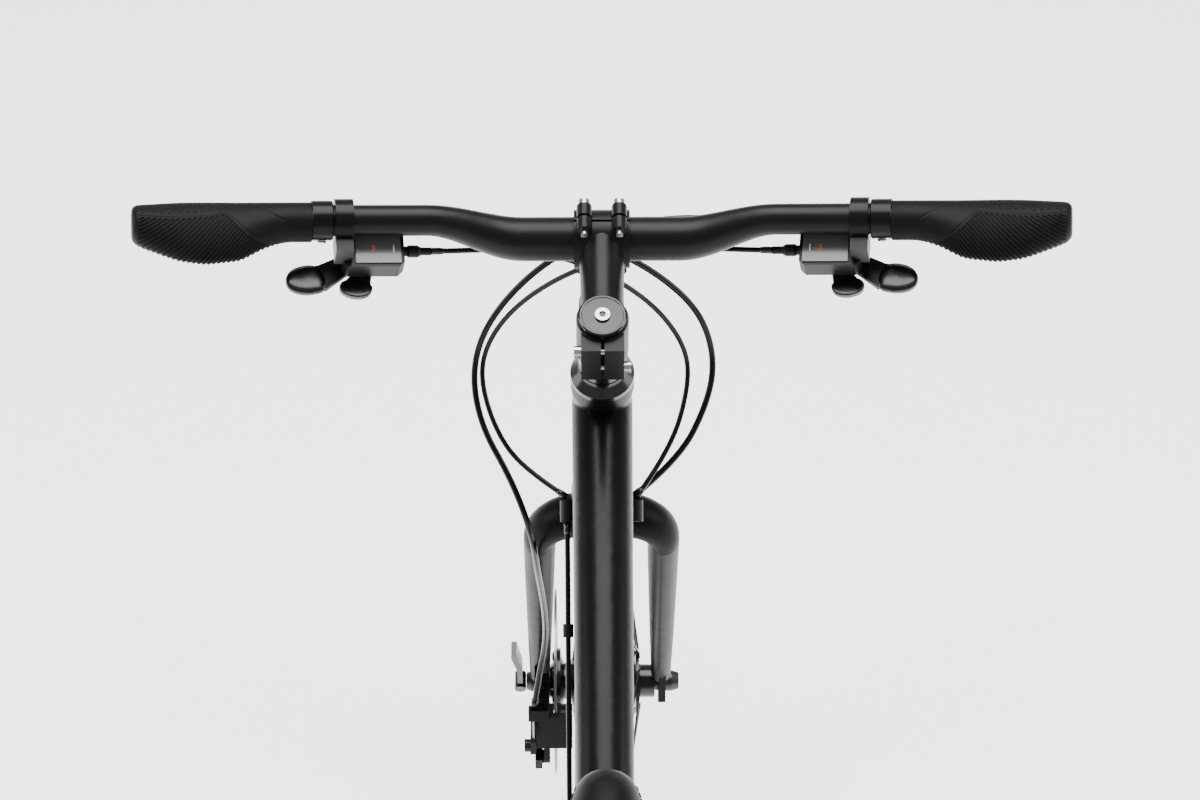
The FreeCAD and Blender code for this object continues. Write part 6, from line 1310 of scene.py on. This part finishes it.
@dataclass
class Wheels:
    """Valves and rotor bolts of both wheels, in millimetres."""

    valve_foot: float = 292.0
    valve_angle: float = 95.6
    valve_outline: Outline = ((4.5, 0.0), (4.5, 4.0), (3.0, 4.5), (3.0, 30.0), (3.3, 30.5), (3.3, 40.0),
                              (2.2, 40.5), (2.2, 43.0))
    bolt_circle: float = 22.0
    bolt_count: int = 6
    bolt_outline: Outline = ((4.1, -0.2), (4.1, 1.2), (3.0, 2.2), (1.6, 2.4), (1.4, 1.2))
    ring: int = 20
    places: dict[str, tuple[float, float]] = field(default_factory=lambda: {
        "front_wheel": (AXLE_REACH, 39.5), "rear_wheel": (-AXLE_REACH, 52.2)})

    def build(self) -> None:
        """Make the small fittings of each wheel."""
        for body, (middle, rotor_face) in self.places.items():
            self._valve(body, middle)
            self._rotor_bolts(body, middle, rotor_face)

    def _valve(self, body: str, middle: float) -> None:
        """A slim valve through the rim.

        Args:
            body: The wheel's body.
            middle: Its axle's place along X.
        """
        angle = math.radians(self.valve_angle)
        out = Vector((math.cos(angle), 0.0, math.sin(angle)))
        foot = (Vector((middle, 0.0, AXLE_HEIGHT)) + out * self.valve_foot) * MM
        label = f"{body}_valve"
        mesh = lathe(label, in_metres(self.valve_outline), foot, -out, self.ring)
        piece(label, mesh, FINISHES.bolt, body)

    def _rotor_bolts(self, body: str, middle: float, face: float) -> None:
        """A ring of low bolt heads on the rotor's centre.

        Args:
            body: The wheel's body.
            middle: Its axle's place along X.
            face: The rotor's outer face along Y.
        """
        outline = in_metres(self.bolt_outline)
        axis = Vector((0.0, 1.0, 0.0))
        for number in range(self.bolt_count):
            angle = math.tau * number / self.bolt_count
            forward, up = self.bolt_circle * math.cos(angle), self.bolt_circle * math.sin(angle)
            spot = Vector((middle + forward, face, AXLE_HEIGHT + up)) * MM
            label = f"{body}_rotor_bolt_{number}"
            piece(label, lathe(label, outline, spot, axis, self.ring), FINISHES.dark_steel, body)


@dataclass
class Paint:
    """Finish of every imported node."""

    groups: tuple[tuple[Finish, tuple[str, ...]], ...] = (
        (FINISHES.paint, ("front_triangle", "rear_triangle")),
        (FINISHES.fork_paint, ("fork",)),
        (FINISHES.anodised, (
            "seat_clamp", "frame_bearings", "grip_collars", "brake_lever_mounts", "front_rim", "rear_rim",
            "front_caliper", "rear_caliper", "crank_arms", "rear_derailleur_mount", "derailleur_link",
            "derailleur_knuckle", "front_derailleur_mount")),
        (FINISHES.satin, (
            "stem", "stem_faceplate", "handlebar", "brake_lever_left", "brake_lever_right", "seatpost")),
        (FINISHES.gloss, (
            "headset_stack", "front_hub", "rear_hub", "front_skewer_lever", "rear_skewer_lever")),
        (FINISHES.steel, ("front_rotor", "rear_rotor", "cassette")),
        (FINISHES.dark_steel, (
            "front_spokes", "rear_spokes", "front_axle", "rear_axle", "chain", "chainrings",
            "derailleur_cage", "front_derailleur_cage", "saddle_rails")),
        (FINISHES.bolt, ("stem_bolts",)),
        (FINISHES.rubber, ("grips",)),
        (FINISHES.front_tyre, ("front_tyre",)),
        (FINISHES.rear_tyre, ("rear_tyre",)),
        (FINISHES.plastic, (
            "cable_guides", "shifter_pods", "shift_paddle_left", "shift_paddle_right", "pedal_left",
            "pedal_right", "guide_pulley", "tension_pulley")),
        (FINISHES.grey, (
            "release_lever_left", "release_lever_right", "front_caliper_arm", "rear_caliper_arm")),
        (FINISHES.window, ("gear_windows",)),
        (FINISHES.cover, ("saddle",)),
        (FINISHES.housing, ("control_cables", "front_brake_cable", "frame_cables")))

    def build(self) -> None:
        """Give each node its finish."""
        finishes = {name: finish for finish, names in self.groups for name in names}
        for name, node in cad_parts.items():
            coat(node.data, finishes[name])


def main() -> None:
    """Dress the bike and set up its studio."""
    logging.basicConfig(level=logging.INFO)
    for part in (Paint(), Cables(), Grips(), Saddle(), Cockpit(), Wheels(), Studio()):
        part.build()


if __name__ == "__main__":
    main()
